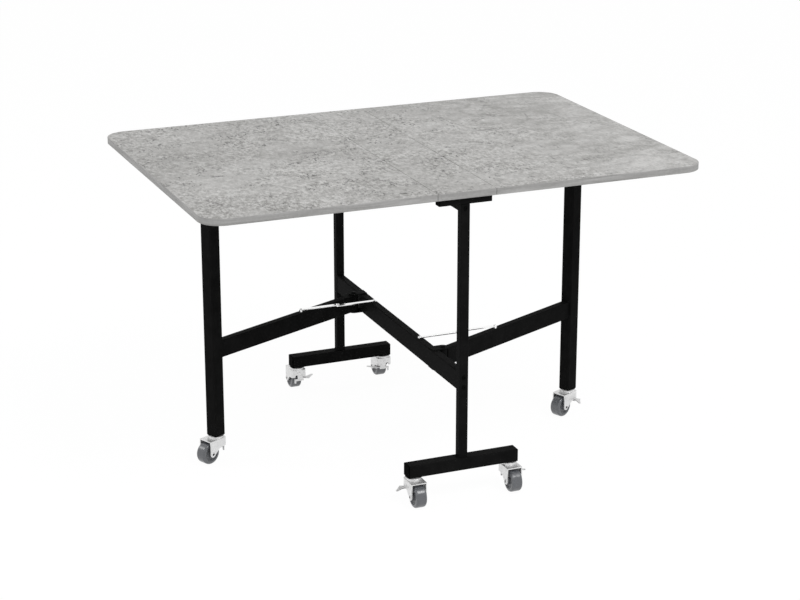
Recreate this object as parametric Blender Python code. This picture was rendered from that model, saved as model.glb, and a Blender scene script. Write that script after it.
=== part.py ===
"""Drop-leaf dining table on castors.

A narrow fixed strip carries a leaf on each side. Each open leaf rests on a gate leg that swings out from the
lower rail and is held there by a folding stay. Metres, +Z up. X runs along the table and Y across it, and the
origin is on the floor under the middle of the table. The right side is modelled, and a half turn about the
origin gives the left side.
"""
import math

import bmesh
import bpy
from mathutils import Matrix, Vector

# Gaps
CLEARANCE = 0.0003  # between pieces that touch, and round every pin
WELD = 0.0004  # how far welded shapes run into each other
OVERCUT = 0.002  # how far a cutter runs past what it cuts

# Table top
TABLE_LENGTH = 1.240
TABLE_WIDTH = 0.840
TABLE_HEIGHT = 0.750
TOP_THICKNESS = 0.016
TOP_CORNER_RADIUS = 0.055
STRIP_WIDTH = 0.144
SEAM_GAP = 0.0012
EDGE_ROUND = 0.0012

# Leaf hinges
HINGE_SETBACK = 0.090  # from the strip's end to the hinge's middle, clear of the folded legs
HINGE_LENGTH = 0.051
HINGE_WING = 0.034
HINGE_SHEET = 0.0015
KNUCKLE_DIAMETER = 0.006
HINGE_PIN_DIAMETER = 0.003

# Frame tubes
TUBE_WALL = 0.0015
TUBE_CORNER = 0.0022
POST_TUBE = 0.022
POST_SETBACK = 0.020  # from the strip's end to the post's middle
HEAD_LENGTH = 0.132
HEAD_HEIGHT = 0.016
RAIL_WIDTH = 0.020
RAIL_HEIGHT = 0.046
TOP_RAIL_HEIGHT = 0.036
LOWER_RAIL_TOP = 0.310
FOOT_TUBE = 0.031
FOOT_LENGTH = 0.282
CASTOR_SPACING = 0.246
CAP_THICKNESS = 0.003
CAP_CHAMFER = 0.0012

# Holes for the screws that hold the top
SCREW_DIAMETER = 0.004
SCREW_SPACING = 0.090

# Gate legs
GATE_TUBE = 0.032
GATE_REACH = 0.493  # from the pivot to the middle of the leg
GATE_OPEN_ANGLE = math.radians(65)  # between the open gate and the rail
GATE_SETBACK = 0.168  # from the post's middle to the gate's pivot
FOLD_CLEARANCE = 0.003
BARREL_DIAMETER = 0.022
ARM_WIDTH = 0.020
ARM_HEIGHT = 0.044
GATE_PIN_DIAMETER = 0.008
GATE_PIN_HEAD_DIAMETER = 0.013
GATE_PIN_HEAD_HEIGHT = 0.0025
EAR_THICKNESS = 0.003
EAR_WIDTH = 0.028
PAD_THICKNESS = 0.003
PAD_PLUG = 0.012
SOCKET_FLANGE = 0.002
SOCKET_LENGTH = 0.028

# Folding stays
STAY_SETBACK = 0.082  # from the gate's pivot to the stay, along the rail
STAY_WIDTH = 0.011
STAY_THICKNESS = 0.002
STAY_STANDOFF = 0.002
STAY_LAYER_GAP = 0.0004
STAY_PIN_DIAMETER = 0.0045
STAY_HEAD_DIAMETER = 0.008
STAY_HEAD_HEIGHT = 0.002
STAY_SHOULDER_DIAMETER = 0.010
STAY_TAIL_HEIGHT = 0.0014

# Castors
WHEEL_DIAMETER = 0.054
WHEEL_WIDTH = 0.027
TYRE_SHOULDER = 0.005
WHEEL_RIM_DIAMETER = 0.037
WHEEL_RECESS = 0.0035
HUB_DIAMETER = 0.016
TRAIL = 0.028
AXLE_DIAMETER = 0.006
AXLE_HEAD_DIAMETER = 0.010
AXLE_HEAD_HEIGHT = 0.0015
FORK_WIDTH = 0.039
FORK_SHEET = 0.0025
FORK_LEAD = 0.0185
FORK_CORNER = 0.008
FORK_BOSS_RADIUS = 0.0080
FORK_SKIRT = 0.0200  # depth of the cheeks at the leading end
FORK_WALL = 0.0135  # depth of the leading wall between them
FORK_WINDOW_CORNER = 0.0040
FORK_KNEE = 0.006  # where the cheek turns down to the axle
FORK_KNEE_DROP = 0.004
WHEEL_TOP_GAP = 0.0045
RACE_DIAMETER = 0.036
RACE_HEIGHT = 0.0030
MOUNT_DIAMETER = 0.040
MOUNT_HEIGHT = 0.0030
KINGPIN_DIAMETER = 0.008
KINGPIN_HEAD_DIAMETER = 0.014
KINGPIN_HEAD_HEIGHT = 0.0025
STEM_DIAMETER = 0.010
STEM_LENGTH = 0.020
NUT_DIAMETER = 0.018
NUT_HEIGHT = 0.008

# Brake levers
LEVER_SHEET = 0.002
LEVER_PIVOT_DROP = 0.006  # below the underside of the fork's top
LEVER_BOSS = 0.0055
LEVER_DROP = 0.0165
LEVER_NECK = 0.013
LEVER_HEEL = 0.003
LEVER_LENGTH = 0.045
LEVER_TIP_RADIUS = 0.0030
LEVER_SHOULDER = 0.026
LEVER_FLARE = 0.006  # how far the leaf of the tongue widens past the web
LEVER_SWEEP = 0.015  # how far the tip lies behind the leaf's root
LEVER_STRIP = 0.0060  # height of the strip across the fork
LEVER_CROSS = 0.0125  # from the rivet to the strip's far end
LEVER_TAB = 0.0045
LEVER_TAB_DROP = 0.0060
LEVER_WHEEL_GAP = 0.006
LEVER_RIVET_DIAMETER = 0.004
LEVER_RIVET_HEAD_DIAMETER = 0.008
LEVER_RIVET_HEAD_HEIGHT = 0.0015
SHOE_INNER = 0.0048
SHOE_OUTER = 0.0110
SHOE_DROP = 0.0035
SHOE_WHEEL_GAP = 0.0036

# How each castor stands: its trail direction, seen from above
FOOT_HEADINGS = {"front": math.radians(-90), "rear": math.radians(90)}
GATE_HEADINGS = {"left": 0.0, "right": math.radians(180)}  # from the gate's own direction
LEVER_HANDS = {"left": -1, "right": 1}

# Where the hinges named for the front and the rear lie on each side, before the left side's half turn
SIDE_ENDS = {
    "right": {"front": -1, "rear": 1},
    "left": {"front": 1, "rear": -1},
}

# Facets
CORNER_STEPS = 2
TOP_CORNER_STEPS = 10
SMALL_STEPS = 10
ROUND_STEPS = 12
DISC_STEPS = 16
WHEEL_STEPS = 20
SHARP_ANGLE = math.radians(50)

# Heights and places that follow from the sizes above
WHEEL_RADIUS = WHEEL_DIAMETER / 2
FORK_TOP = WHEEL_DIAMETER + WHEEL_TOP_GAP + FORK_SHEET
RACE_TOP = FORK_TOP + RACE_HEIGHT
CASTOR_HEIGHT = RACE_TOP + MOUNT_HEIGHT + 2 * CLEARANCE
FOOT_TOP = CASTOR_HEIGHT + FOOT_TUBE
UNDERSIDE = TABLE_HEIGHT - TOP_THICKNESS
SEAT = UNDERSIDE - CLEARANCE
HEAD_BOTTOM = SEAT - HEAD_HEIGHT
TOP_RAIL_MIDDLE = SEAT - TOP_RAIL_HEIGHT / 2
LOWER_RAIL_BOTTOM = LOWER_RAIL_TOP - RAIL_HEIGHT
LOWER_RAIL_MIDDLE = LOWER_RAIL_TOP - RAIL_HEIGHT / 2
ARM_TOP = LOWER_RAIL_MIDDLE + ARM_HEIGHT / 2
POST_Y = TABLE_WIDTH / 2 - POST_SETBACK
RAIL_LENGTH = 2 * POST_Y - POST_TUBE - 2 * CLEARANCE
LEAF_START = STRIP_WIDTH / 2 + SEAM_GAP
HINGE_X = STRIP_WIDTH / 2 + SEAM_GAP / 2
HINGE_Y = TABLE_WIDTH / 2 - HINGE_SETBACK
HINGE_Z = SEAT - KNUCKLE_DIAMETER / 2
GATE_PIVOT_X = RAIL_WIDTH / 2 + BARREL_DIAMETER / 2 + FOLD_CLEARANCE
GATE_PIVOT_Y = POST_Y - GATE_SETBACK
GATE_TURN = math.pi / 2 - GATE_OPEN_ANGLE
STAY_RAIL_Y = GATE_PIVOT_Y - STAY_SETBACK
STAY_ARM_REACH = STAY_SETBACK / math.cos(GATE_OPEN_ANGLE)
STAY_SPAN = GATE_PIVOT_X + STAY_ARM_REACH * math.sin(GATE_OPEN_ANGLE)
STAY_LINK = STAY_SPAN / 2
EAR_TOP_SPAN = (LOWER_RAIL_TOP - WELD, LOWER_RAIL_TOP - WELD + EAR_THICKNESS)
EAR_LOW_SPAN = (LOWER_RAIL_BOTTOM + WELD - EAR_THICKNESS, LOWER_RAIL_BOTTOM + WELD)
STAY_LOW = LOWER_RAIL_TOP + STAY_STANDOFF
STAY_HIGH = STAY_LOW + STAY_THICKNESS + STAY_LAYER_GAP
LEVER_X = -FORK_LEAD + FORK_SHEET + CLEARANCE  # outer face of the lever's web
LEVER_Z = FORK_TOP - FORK_SHEET - LEVER_PIVOT_DROP

# Turns that lay a shape built along Z along another axis
ALONG_X = Matrix.Rotation(math.pi / 2, 4, "Y")
ALONG_Y = Matrix.Rotation(-math.pi / 2, 4, "X")
CROSSWISE = Matrix.Rotation(math.pi / 2, 4, "X")  # an outline drawn in X and Z, extruded along Y
FACING_X = Matrix(((0, 0, 1), (1, 0, 0), (0, 1, 0))).to_4x4()  # an outline drawn in Y and Z, extruded along X
HALF_TURN = Matrix.Rotation(math.pi, 4, "Z")
UPSIDE_DOWN = Matrix.Rotation(math.pi, 4, "X")

# Colour, roughness and metallic value of each finish
FINISHES = {
    "laminate": ((0.45, 0.445, 0.435), 0.55, 0.0),
    "black_steel": ((0.008, 0.008, 0.009), 0.45, 0.3),
    "zinc": ((0.62, 0.63, 0.63), 0.35, 0.9),
    "black_plastic": ((0.012, 0.012, 0.012), 0.5, 0.0),
    "grey_rubber": ((0.13, 0.135, 0.14), 0.6, 0.0),
}


def clear_scene():
    for item in list(bpy.data.objects):
        bpy.data.objects.remove(item, do_unlink=True)


# Outlines

def arc(centre, radius, start, end, steps):
    """Points on an arc between two angles in degrees, both ends included."""
    angles = [math.radians(start + (end - start) * i / steps) for i in range(steps + 1)]
    return [Vector((centre[0] + radius * math.cos(a), centre[1] + radius * math.sin(a))) for a in angles]


def circle(diameter, steps=ROUND_STEPS, centre=(0, 0)):
    return arc(centre, diameter / 2, 0, 360, steps)[:-1]


def bore(diameter, centre=(0, 0), steps=SMALL_STEPS):
    """The outline of a hole whose flats clear a pin of this diameter."""
    return circle((diameter + 2 * CLEARANCE) / math.cos(math.pi / steps), steps, centre)


def rounded_rectangle(width, depth, radius, steps=CORNER_STEPS):
    x = width / 2 - radius
    y = depth / 2 - radius
    corners = [((x, -y), -90), ((x, y), 0), ((-x, y), 90), ((-x, -y), 180)]
    return [point for centre, start in corners for point in arc(centre, radius, start, start + 90, steps)]


def tube_outline(width, depth, inset=0.0):
    """A rolled tube's section, or the same section drawn in by an inset."""
    radius = max(TUBE_CORNER - inset, TUBE_CORNER / 4)
    return rounded_rectangle(width - 2 * inset, depth - 2 * inset, radius)


# Solids

def finished(bm):
    bmesh.ops.recalc_face_normals(bm, faces=bm.faces)
    mesh = bpy.data.meshes.new("shape")
    bm.to_mesh(mesh)
    bm.free()
    return mesh


def prism(outline, bottom, top, holes=()):
    """An outline with any through holes, extruded along Z."""
    bm = bmesh.new()
    edges = []
    for loop in (outline, *holes):
        verts = [bm.verts.new((x, y, bottom)) for x, y in loop]
        edges += [bm.edges.new((verts[i - 1], verts[i])) for i in range(len(verts))]
    cap = bmesh.ops.triangle_fill(bm, edges=edges, use_beauty=True)
    faces = [item for item in cap["geom"] if isinstance(item, bmesh.types.BMFace)]
    raised = bmesh.ops.extrude_face_region(bm, geom=faces)
    verts = [item for item in raised["geom"] if isinstance(item, bmesh.types.BMVert)]
    bmesh.ops.translate(bm, verts=verts, vec=(0, 0, top - bottom))
    return finished(bm)


def lathe(profile, steps=ROUND_STEPS):
    """A profile of radius and height pairs turned about Z: a solid if it ends on the axis, else a ring."""
    bm = bmesh.new()
    verts = [bm.verts.new((radius, 0, height)) for radius, height in profile]
    edges = [bm.edges.new(pair) for pair in zip(verts, verts[1:])]
    if profile[0][0] > 0:
        edges.append(bm.edges.new((verts[-1], verts[0])))
    bmesh.ops.spin(bm, geom=verts + edges, cent=(0, 0, 0), axis=(0, 0, 1), angle=2 * math.pi, steps=steps,
                   use_merge=True)
    bmesh.ops.remove_doubles(bm, verts=bm.verts, dist=1e-6)
    return finished(bm)


def loft(rings):
    """A skin over rings of equally many points, closed at both ends."""
    bm = bmesh.new()
    loops = [[bm.verts.new(point) for point in ring] for ring in rings]
    for near, far in zip(loops, loops[1:]):
        for i in range(len(near)):
            bm.faces.new((near[i - 1], near[i], far[i], far[i - 1]))
    bm.faces.new(loops[0])
    bm.faces.new(loops[-1])
    return finished(bm)


def stepped(sections):
    """A loft through flat outlines, each given with its height."""
    return loft([[(x, y, height) for x, y in outline] for outline, height in sections])


def moved(mesh, *matrices):
    """A copy of a mesh, turned and shifted by each matrix in order."""
    copy = mesh.copy()
    for matrix in matrices:
        copy.transform(matrix)
    return copy


def shift(x=0.0, y=0.0, z=0.0):
    return Matrix.Translation((x, y, z))


def joined(meshes):
    """Separate bodies in one mesh."""
    bm = bmesh.new()
    for mesh in meshes:
        bm.from_mesh(mesh)
    return finished(bm)


def boolean(body, tool, operation):
    base = bpy.data.objects.new("body", body)
    other = bpy.data.objects.new("tool", tool)
    for item in (base, other):
        bpy.context.scene.collection.objects.link(item)
    modifier = base.modifiers.new("boolean", "BOOLEAN")
    modifier.operation = operation
    modifier.object = other
    modifier.solver = "EXACT"
    result = bpy.data.meshes.new_from_object(base.evaluated_get(bpy.context.evaluated_depsgraph_get()))
    for item in (base, other):
        bpy.data.objects.remove(item)
    return result


def cut(body, tools):
    return boolean(body, joined(tools), "DIFFERENCE")


def union(body, tools):
    for tool in tools:
        body = boolean(body, tool, "UNION")
    return body


def drill(diameter, low, high, *matrices):
    """A cutter for a hole that clears a pin of this diameter, along Z before it is moved."""
    return moved(prism(bore(diameter), low, high), *matrices)


def rivet(diameter, heads, low, high):
    """A pin between two heights along Z. The heads, low and high, are each a diameter and a height."""
    (low_diameter, low_height), (high_diameter, high_height) = heads
    radius = diameter / 2
    return lathe([(0, low - low_height), (low_diameter * 0.4, low - low_height), (low_diameter / 2, low),
                  (radius, low), (radius, high), (high_diameter / 2, high),
                  (high_diameter * 0.4, high + high_height), (0, high + high_height)], SMALL_STEPS)


# Objects

def make_material(name, finish):
    colour, roughness, metallic = FINISHES[finish]
    material = bpy.data.materials.new(name)
    material.use_nodes = True
    shader = material.node_tree.nodes["Principled BSDF"]
    shader.inputs["Base Color"].default_value = (*colour, 1.0)
    shader.inputs["Roughness"].default_value = roughness
    shader.inputs["Metallic"].default_value = metallic
    return material


def place(name, mesh, finish, parent=None, location=(0, 0, 0), turn=0.0):
    mesh = mesh.copy()
    mesh.name = name
    mesh.materials.clear()
    mesh.materials.append(make_material(name, finish))
    mesh.shade_smooth()
    mesh.set_sharp_from_angle(angle=SHARP_ANGLE)
    item = bpy.data.objects.new(name, mesh)
    item.parent = parent
    item.location = location
    item.rotation_euler.z = turn
    item.modifiers.new("even_shading", "WEIGHTED_NORMAL").keep_sharp = True
    bpy.context.scene.collection.objects.link(item)
    return item


def pivot(name, parent=None, location=(0, 0, 0), turn=0.0):
    """An empty on a joint's axis."""
    item = bpy.data.objects.new(name, None)
    item.parent = parent
    item.location = location
    item.rotation_euler.z = turn
    bpy.context.scene.collection.objects.link(item)
    return item


# Table top

def leaf_outline(inset):
    """The right leaf from above. Its three free sides are drawn in by an inset, and its seam isn't."""
    x = TABLE_LENGTH / 2 - inset
    y = TABLE_WIDTH / 2 - inset
    radius = TOP_CORNER_RADIUS - inset
    front = arc((x - radius, -y + radius), radius, -90, 0, TOP_CORNER_STEPS)
    rear = arc((x - radius, y - radius), radius, 0, 90, TOP_CORNER_STEPS)
    return [Vector((LEAF_START, -y)), *front, *rear, Vector((LEAF_START, y))]


def strip_outline(inset):
    x = STRIP_WIDTH / 2
    y = TABLE_WIDTH / 2 - inset
    return [Vector((-x, -y)), Vector((x, -y)), Vector((x, y)), Vector((-x, y))]


def board(outline):
    """A board whose free edges are eased above and below. outline gives its shape at any inset."""
    return stepped([(outline(EDGE_ROUND), UNDERSIDE), (outline(0), UNDERSIDE + EDGE_ROUND),
                    (outline(0), TABLE_HEIGHT - EDGE_ROUND), (outline(EDGE_ROUND), TABLE_HEIGHT)])


def knuckle(start, end, holes=()):
    """A hinge knuckle about the Y axis, with the root of the wing that it is rolled from."""
    radius = KNUCKLE_DIAMETER / 2
    under = math.degrees(math.asin((radius - HINGE_SHEET) / radius))
    root = 2 * radius
    outline = [Vector((root, radius)), *arc((0, 0), radius, 90, 360 + under, SMALL_STEPS)]
    outline.append(Vector((root, radius - HINGE_SHEET)))
    return moved(prism(outline, start, end, holes), CROSSWISE)


def hinge_plate():
    """A wing towards +X, flat against the board above the hinge axis, short of the knuckles."""
    radius = KNUCKLE_DIAMETER / 2
    start = radius + 2 * CLEARANCE
    outline = rounded_rectangle(HINGE_WING - start, HINGE_LENGTH, 2 * HINGE_SHEET)
    low = radius - HINGE_SHEET + WELD / 2
    return moved(prism(outline, low, radius - WELD / 2), shift(x=(HINGE_WING + start) / 2))


def make_leaf_hinges(side, side_pivot, leaf_pivot):
    """Two back-flap hinges. The strip's wing holds the pin, and the leaf's knuckle turns on it."""
    half = HINGE_LENGTH / 2
    third = HINGE_LENGTH / 6
    rolled = knuckle(-third + CLEARANCE, third - CLEARANCE, [bore(HINGE_PIN_DIAMETER)])
    leaf_wing = union(hinge_plate(), [rolled])
    pin = moved(prism(circle(HINGE_PIN_DIAMETER, SMALL_STEPS), -half + third, half - third), ALONG_Y)
    knuckles = [knuckle(-half, -third - CLEARANCE), knuckle(third + CLEARANCE, half)]
    strip_wing = moved(union(hinge_plate(), [*knuckles, pin]), HALF_TURN)
    for end, direction in SIDE_ENDS[side].items():
        y = direction * HINGE_Y
        place(f"{side}_{end}_leaf_wing", leaf_wing, "zinc", leaf_pivot, (0, y, 0))
        place(f"{side}_{end}_strip_wing", strip_wing, "zinc", side_pivot, (HINGE_X, y, HINGE_Z))


def make_leaf(side, leaf_pivot):
    leaf = moved(board(leaf_outline), shift(-HINGE_X, 0, -HINGE_Z))
    place(f"{side}_leaf", leaf, "laminate", leaf_pivot)


# Centre frame

def square_tube(width, depth, start, end):
    """An open rolled tube along Z."""
    return prism(tube_outline(width, depth), start, end, [tube_outline(width, depth, TUBE_WALL)])


def capped_tube(height, depth, length):
    """A tube along X with an end cap pressed into each end."""
    half = length / 2
    cavity = half - CAP_THICKNESS
    face = tube_outline(height, depth)
    eased = tube_outline(height, depth, CAP_CHAMFER)
    body = stepped([(eased, -half), (face, -half + CAP_CHAMFER), (face, half - CAP_CHAMFER), (eased, half)])
    body = cut(body, [prism(tube_outline(height, depth, TUBE_WALL), -cavity, cavity)])
    return moved(body, ALONG_X)


def make_posts():
    body = square_tube(POST_TUBE, POST_TUBE, FOOT_TOP + CLEARANCE, HEAD_BOTTOM - CLEARANCE)
    place("front_post", body, "black_steel", location=(0, -POST_Y, 0))
    place("rear_post", body, "black_steel", location=(0, POST_Y, 0))


def make_feet():
    """The floor tubes, with a nut welded inside for each castor's stem."""
    body = moved(capped_tube(FOOT_TUBE, FOOT_TUBE, FOOT_LENGTH), shift(z=CASTOR_HEIGHT + FOOT_TUBE / 2))
    wall = CASTOR_HEIGHT + TUBE_WALL
    nut = prism(circle(NUT_DIAMETER, 6), wall - WELD, wall + NUT_HEIGHT)
    hole = drill(STEM_DIAMETER, CASTOR_HEIGHT - OVERCUT, wall + NUT_HEIGHT + OVERCUT)
    stems = [shift(x=x * CASTOR_SPACING / 2) for x in (-1, 1)]
    body = union(body, [moved(nut, stem) for stem in stems])
    body = cut(body, [moved(hole, stem) for stem in stems])
    place("front_foot", body, "black_steel", location=(0, -POST_Y, 0))
    place("rear_foot", body, "black_steel", location=(0, POST_Y, 0))


def make_heads():
    """The tubes on the posts that carry the strip, drilled for its screws."""
    body = moved(capped_tube(HEAD_HEIGHT, POST_TUBE, HEAD_LENGTH), shift(z=HEAD_BOTTOM + HEAD_HEIGHT / 2))
    hole = drill(SCREW_DIAMETER, HEAD_BOTTOM - OVERCUT, SEAT + OVERCUT)
    body = cut(body, [moved(hole, shift(x=x * SCREW_SPACING / 2)) for x in (-1, 1)])
    place("front_head", body, "black_steel", location=(0, -POST_Y, 0))
    place("rear_head", body, "black_steel", location=(0, POST_Y, 0))


def rail_tube(height, middle):
    half = RAIL_LENGTH / 2
    return moved(square_tube(RAIL_WIDTH, height, -half, half), ALONG_Y, shift(z=middle))


def make_rails():
    """The top rail, and the lower rail with the ears and studs that are welded to it for the gates."""
    place("top_rail", rail_tube(TOP_RAIL_HEIGHT, TOP_RAIL_MIDDLE), "black_steel")
    end = arc((GATE_PIVOT_X, 0), EAR_WIDTH / 2, -90, 90, ROUND_STEPS // 2)
    back = -RAIL_WIDTH / 2 + TUBE_CORNER
    outline = [Vector((back, -EAR_WIDTH / 2)), *end, Vector((back, EAR_WIDTH / 2))]
    hole = bore(GATE_PIN_DIAMETER, (GATE_PIVOT_X, 0))
    ears = [prism(outline, low, high, [hole]) for low, high in (EAR_TOP_SPAN, EAR_LOW_SPAN)]
    right = [moved(ear, shift(y=-GATE_PIVOT_Y)) for ear in ears]
    right.append(moved(stay_stud(LOWER_RAIL_TOP, STAY_LOW), shift(y=-STAY_RAIL_Y)))
    left = [moved(mesh, HALF_TURN) for mesh in right]
    rail = union(rail_tube(RAIL_HEIGHT, LOWER_RAIL_MIDDLE), right + left)
    place("lower_rail", rail, "black_steel")


# Gate legs

def end_plug(length, plate, chamfer):
    """A moulded plug for a leg, along Z: its plate's inner face is at zero, and its plug is below."""
    snug = tube_outline(GATE_TUBE, GATE_TUBE, TUBE_WALL + CLEARANCE)
    face = tube_outline(GATE_TUBE, GATE_TUBE)
    eased = tube_outline(GATE_TUBE, GATE_TUBE, chamfer)
    return stepped([(snug, -length), (snug, 0), (face, 0), (face, plate - chamfer), (eased, plate)])


def make_gate(side, side_pivot, gate_pivot):
    """A gate leg along its pivot's +X: the arm with its hinge barrel, the leg, and the leg's plugs."""
    low = EAR_LOW_SPAN[1] + CLEARANCE
    high = EAR_TOP_SPAN[0] - CLEARANCE
    arm = square_tube(ARM_HEIGHT, ARM_WIDTH, 0, GATE_REACH - GATE_TUBE / 2 - CLEARANCE)
    arm = moved(arm, ALONG_X, shift(z=LOWER_RAIL_MIDDLE))
    arm = union(arm, [prism(circle(BARREL_DIAMETER, DISC_STEPS), low, high),
                      moved(stay_stud(ARM_TOP, STAY_HIGH), shift(x=STAY_ARM_REACH))])
    arm = cut(arm, [drill(GATE_PIN_DIAMETER, low - OVERCUT, high + OVERCUT)])
    place(f"{side}_gate_arm", arm, "black_steel", gate_pivot)

    heads = [(GATE_PIN_HEAD_DIAMETER, GATE_PIN_HEAD_HEIGHT)] * 2
    pin = rivet(GATE_PIN_DIAMETER, heads, EAR_LOW_SPAN[0] - CLEARANCE, EAR_TOP_SPAN[1] + CLEARANCE)
    place(f"{side}_gate_pin", pin, "zinc", side_pivot, (GATE_PIVOT_X, -GATE_PIVOT_Y, 0))

    leg_low = CASTOR_HEIGHT + SOCKET_FLANGE
    leg_high = SEAT - PAD_THICKNESS
    leg = square_tube(GATE_TUBE, GATE_TUBE, leg_low + CLEARANCE, leg_high - CLEARANCE)
    on_leg = (GATE_REACH, 0, 0)
    place(f"{side}_gate_leg", leg, "black_steel", gate_pivot, on_leg)

    pad = moved(end_plug(PAD_PLUG, PAD_THICKNESS, CAP_CHAMFER), shift(z=leg_high))
    place(f"{side}_gate_pad", pad, "black_plastic", gate_pivot, on_leg)
    socket = end_plug(SOCKET_LENGTH, SOCKET_FLANGE, CAP_CHAMFER / 4)
    socket = cut(socket, [drill(STEM_DIAMETER, -STEM_LENGTH - CLEARANCE, SOCKET_FLANGE + OVERCUT)])
    socket = moved(socket, UPSIDE_DOWN, shift(z=leg_low))
    place(f"{side}_gate_socket", socket, "black_plastic", gate_pivot, on_leg)


# Folding stays

def stay_stud(wall, layer):
    """A stud welded on a top wall, with a shoulder under the link that turns on it."""
    low = layer - CLEARANCE
    high = layer + STAY_THICKNESS + CLEARANCE
    pin = STAY_PIN_DIAMETER / 2
    head = STAY_HEAD_DIAMETER / 2
    shoulder = STAY_SHOULDER_DIAMETER / 2
    return lathe([(0, wall - WELD), (shoulder, wall - WELD), (shoulder, low), (pin, low), (pin, high),
                  (head, high), (head * 0.8, high + STAY_HEAD_HEIGHT), (0, high + STAY_HEAD_HEIGHT)],
                 SMALL_STEPS)


def stay_link(layer, button_low, button_high):
    """A flat link along +X from its stud hole, with half of the middle rivet at its far end."""
    radius = STAY_WIDTH / 2
    steps = ROUND_STEPS // 2
    outline = arc((STAY_LINK, 0), radius, -90, 90, steps) + arc((0, 0), radius, 90, 270, steps)
    bar = prism(outline, layer, layer + STAY_THICKNESS, [bore(STAY_PIN_DIAMETER)])
    button = prism(circle(STAY_HEAD_DIAMETER), button_low, button_high)
    return union(bar, [moved(button, shift(x=STAY_LINK))])


def make_stay(side, side_pivot):
    """A stay square to the rail. Each link has half of the middle rivet, which stays open between them."""
    inside = STAY_THICKNESS / 2
    rail_link = stay_link(STAY_LOW, STAY_LOW - STAY_TAIL_HEIGHT, STAY_LOW + inside)
    gate_link = stay_link(STAY_HIGH, STAY_HIGH + inside, STAY_HIGH + STAY_THICKNESS + STAY_HEAD_HEIGHT)
    at_rail = (0, -STAY_RAIL_Y, 0)
    at_arm = (STAY_SPAN, -STAY_RAIL_Y, 0)
    place(f"{side}_stay_rail_link", rail_link, "zinc", side_pivot, at_rail)
    place(f"{side}_stay_gate_link", gate_link, "zinc", side_pivot, at_arm, math.pi)


# Castors, along their own +X: the swivel axis is at the origin and the wheel trails behind it

def fork_plan(inset, tail):
    half = FORK_WIDTH / 2 - inset
    radius = FORK_CORNER - inset
    front = -FORK_LEAD + inset + radius
    left = arc((front, half - radius), radius, 90, 180, CORNER_STEPS)
    right = arc((front, -half + radius), radius, 180, 270, CORNER_STEPS)
    return [Vector((tail, half)), *left, *right, Vector((tail, -half))]


def fork_side():
    """The cheeks' outline from the side, with the boss round the axle."""
    skirt = FORK_TOP - FORK_SKIRT
    past = -FORK_LEAD - OVERCUT
    boss = arc((TRAIL, WHEEL_RADIUS), FORK_BOSS_RADIUS, 205, 360, ROUND_STEPS // 2)
    top = FORK_TOP + OVERCUT
    return [Vector((past, top)), Vector((past, skirt)), Vector((-FORK_LEAD, skirt)),
            Vector((FORK_KNEE, skirt - FORK_KNEE_DROP)), *boss, Vector((TRAIL + FORK_BOSS_RADIUS, top))]


def fork_window():
    """A cutter for the opening under the leading wall, where the brake lever hangs."""
    half = FORK_WIDTH / 2 - FORK_CORNER
    top = FORK_TOP - FORK_WALL
    low = FORK_TOP - FORK_SKIRT - OVERCUT
    corner = FORK_WINDOW_CORNER
    right = [Vector((half, low)), Vector((half, top - corner)), Vector((half - corner, top))]
    left = [Vector((-y, z)) for y, z in reversed(right)]
    return moved(prism(right + left, -FORK_LEAD - OVERCUT, -FORK_LEAD + FORK_CORNER), FACING_X)


def make_fork_mesh():
    """A pressed fork with its raised ball race, and the axle and lever rivet that are headed over in it."""
    low = WHEEL_RADIUS - FORK_BOSS_RADIUS - OVERCUT
    tail = TRAIL + FORK_BOSS_RADIUS + OVERCUT
    half = FORK_WIDTH / 2
    shell = prism(fork_plan(0, tail), low, FORK_TOP)
    shell = cut(shell, [prism(fork_plan(FORK_SHEET, tail + OVERCUT), low - OVERCUT, FORK_TOP - FORK_SHEET)])
    shell = boolean(shell, moved(prism(fork_side(), -half - OVERCUT, half + OVERCUT), CROSSWISE), "INTERSECT")
    shell = cut(shell, [fork_window()])
    race = RACE_DIAMETER / 2
    lip = RACE_HEIGHT / 3
    dome = lathe([(0, FORK_TOP - FORK_SHEET / 2), (race, FORK_TOP - FORK_SHEET / 2), (race, RACE_TOP - lip),
                  (race - lip, RACE_TOP), (0, RACE_TOP)], DISC_STEPS)
    set_in = FORK_SHEET / 2
    axle_heads = [(AXLE_HEAD_DIAMETER, AXLE_HEAD_HEIGHT + set_in)] * 2
    axle = rivet(AXLE_DIAMETER, axle_heads, -half + set_in, half - set_in)
    lever_heads = [(LEVER_RIVET_HEAD_DIAMETER, LEVER_RIVET_HEAD_HEIGHT + set_in),
                   (LEVER_RIVET_HEAD_DIAMETER, LEVER_RIVET_HEAD_HEIGHT)]
    lever_end = LEVER_X + LEVER_SHEET + CLEARANCE
    lever_rivet = rivet(LEVER_RIVET_DIAMETER, lever_heads, -FORK_LEAD + set_in, lever_end)
    shell = union(shell, [dome, moved(axle, CROSSWISE, shift(TRAIL, 0, WHEEL_RADIUS)),
                          moved(lever_rivet, ALONG_X, shift(z=LEVER_Z))])
    return cut(shell, [drill(KINGPIN_DIAMETER, FORK_TOP - FORK_SHEET - OVERCUT, RACE_TOP + OVERCUT)])


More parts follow.
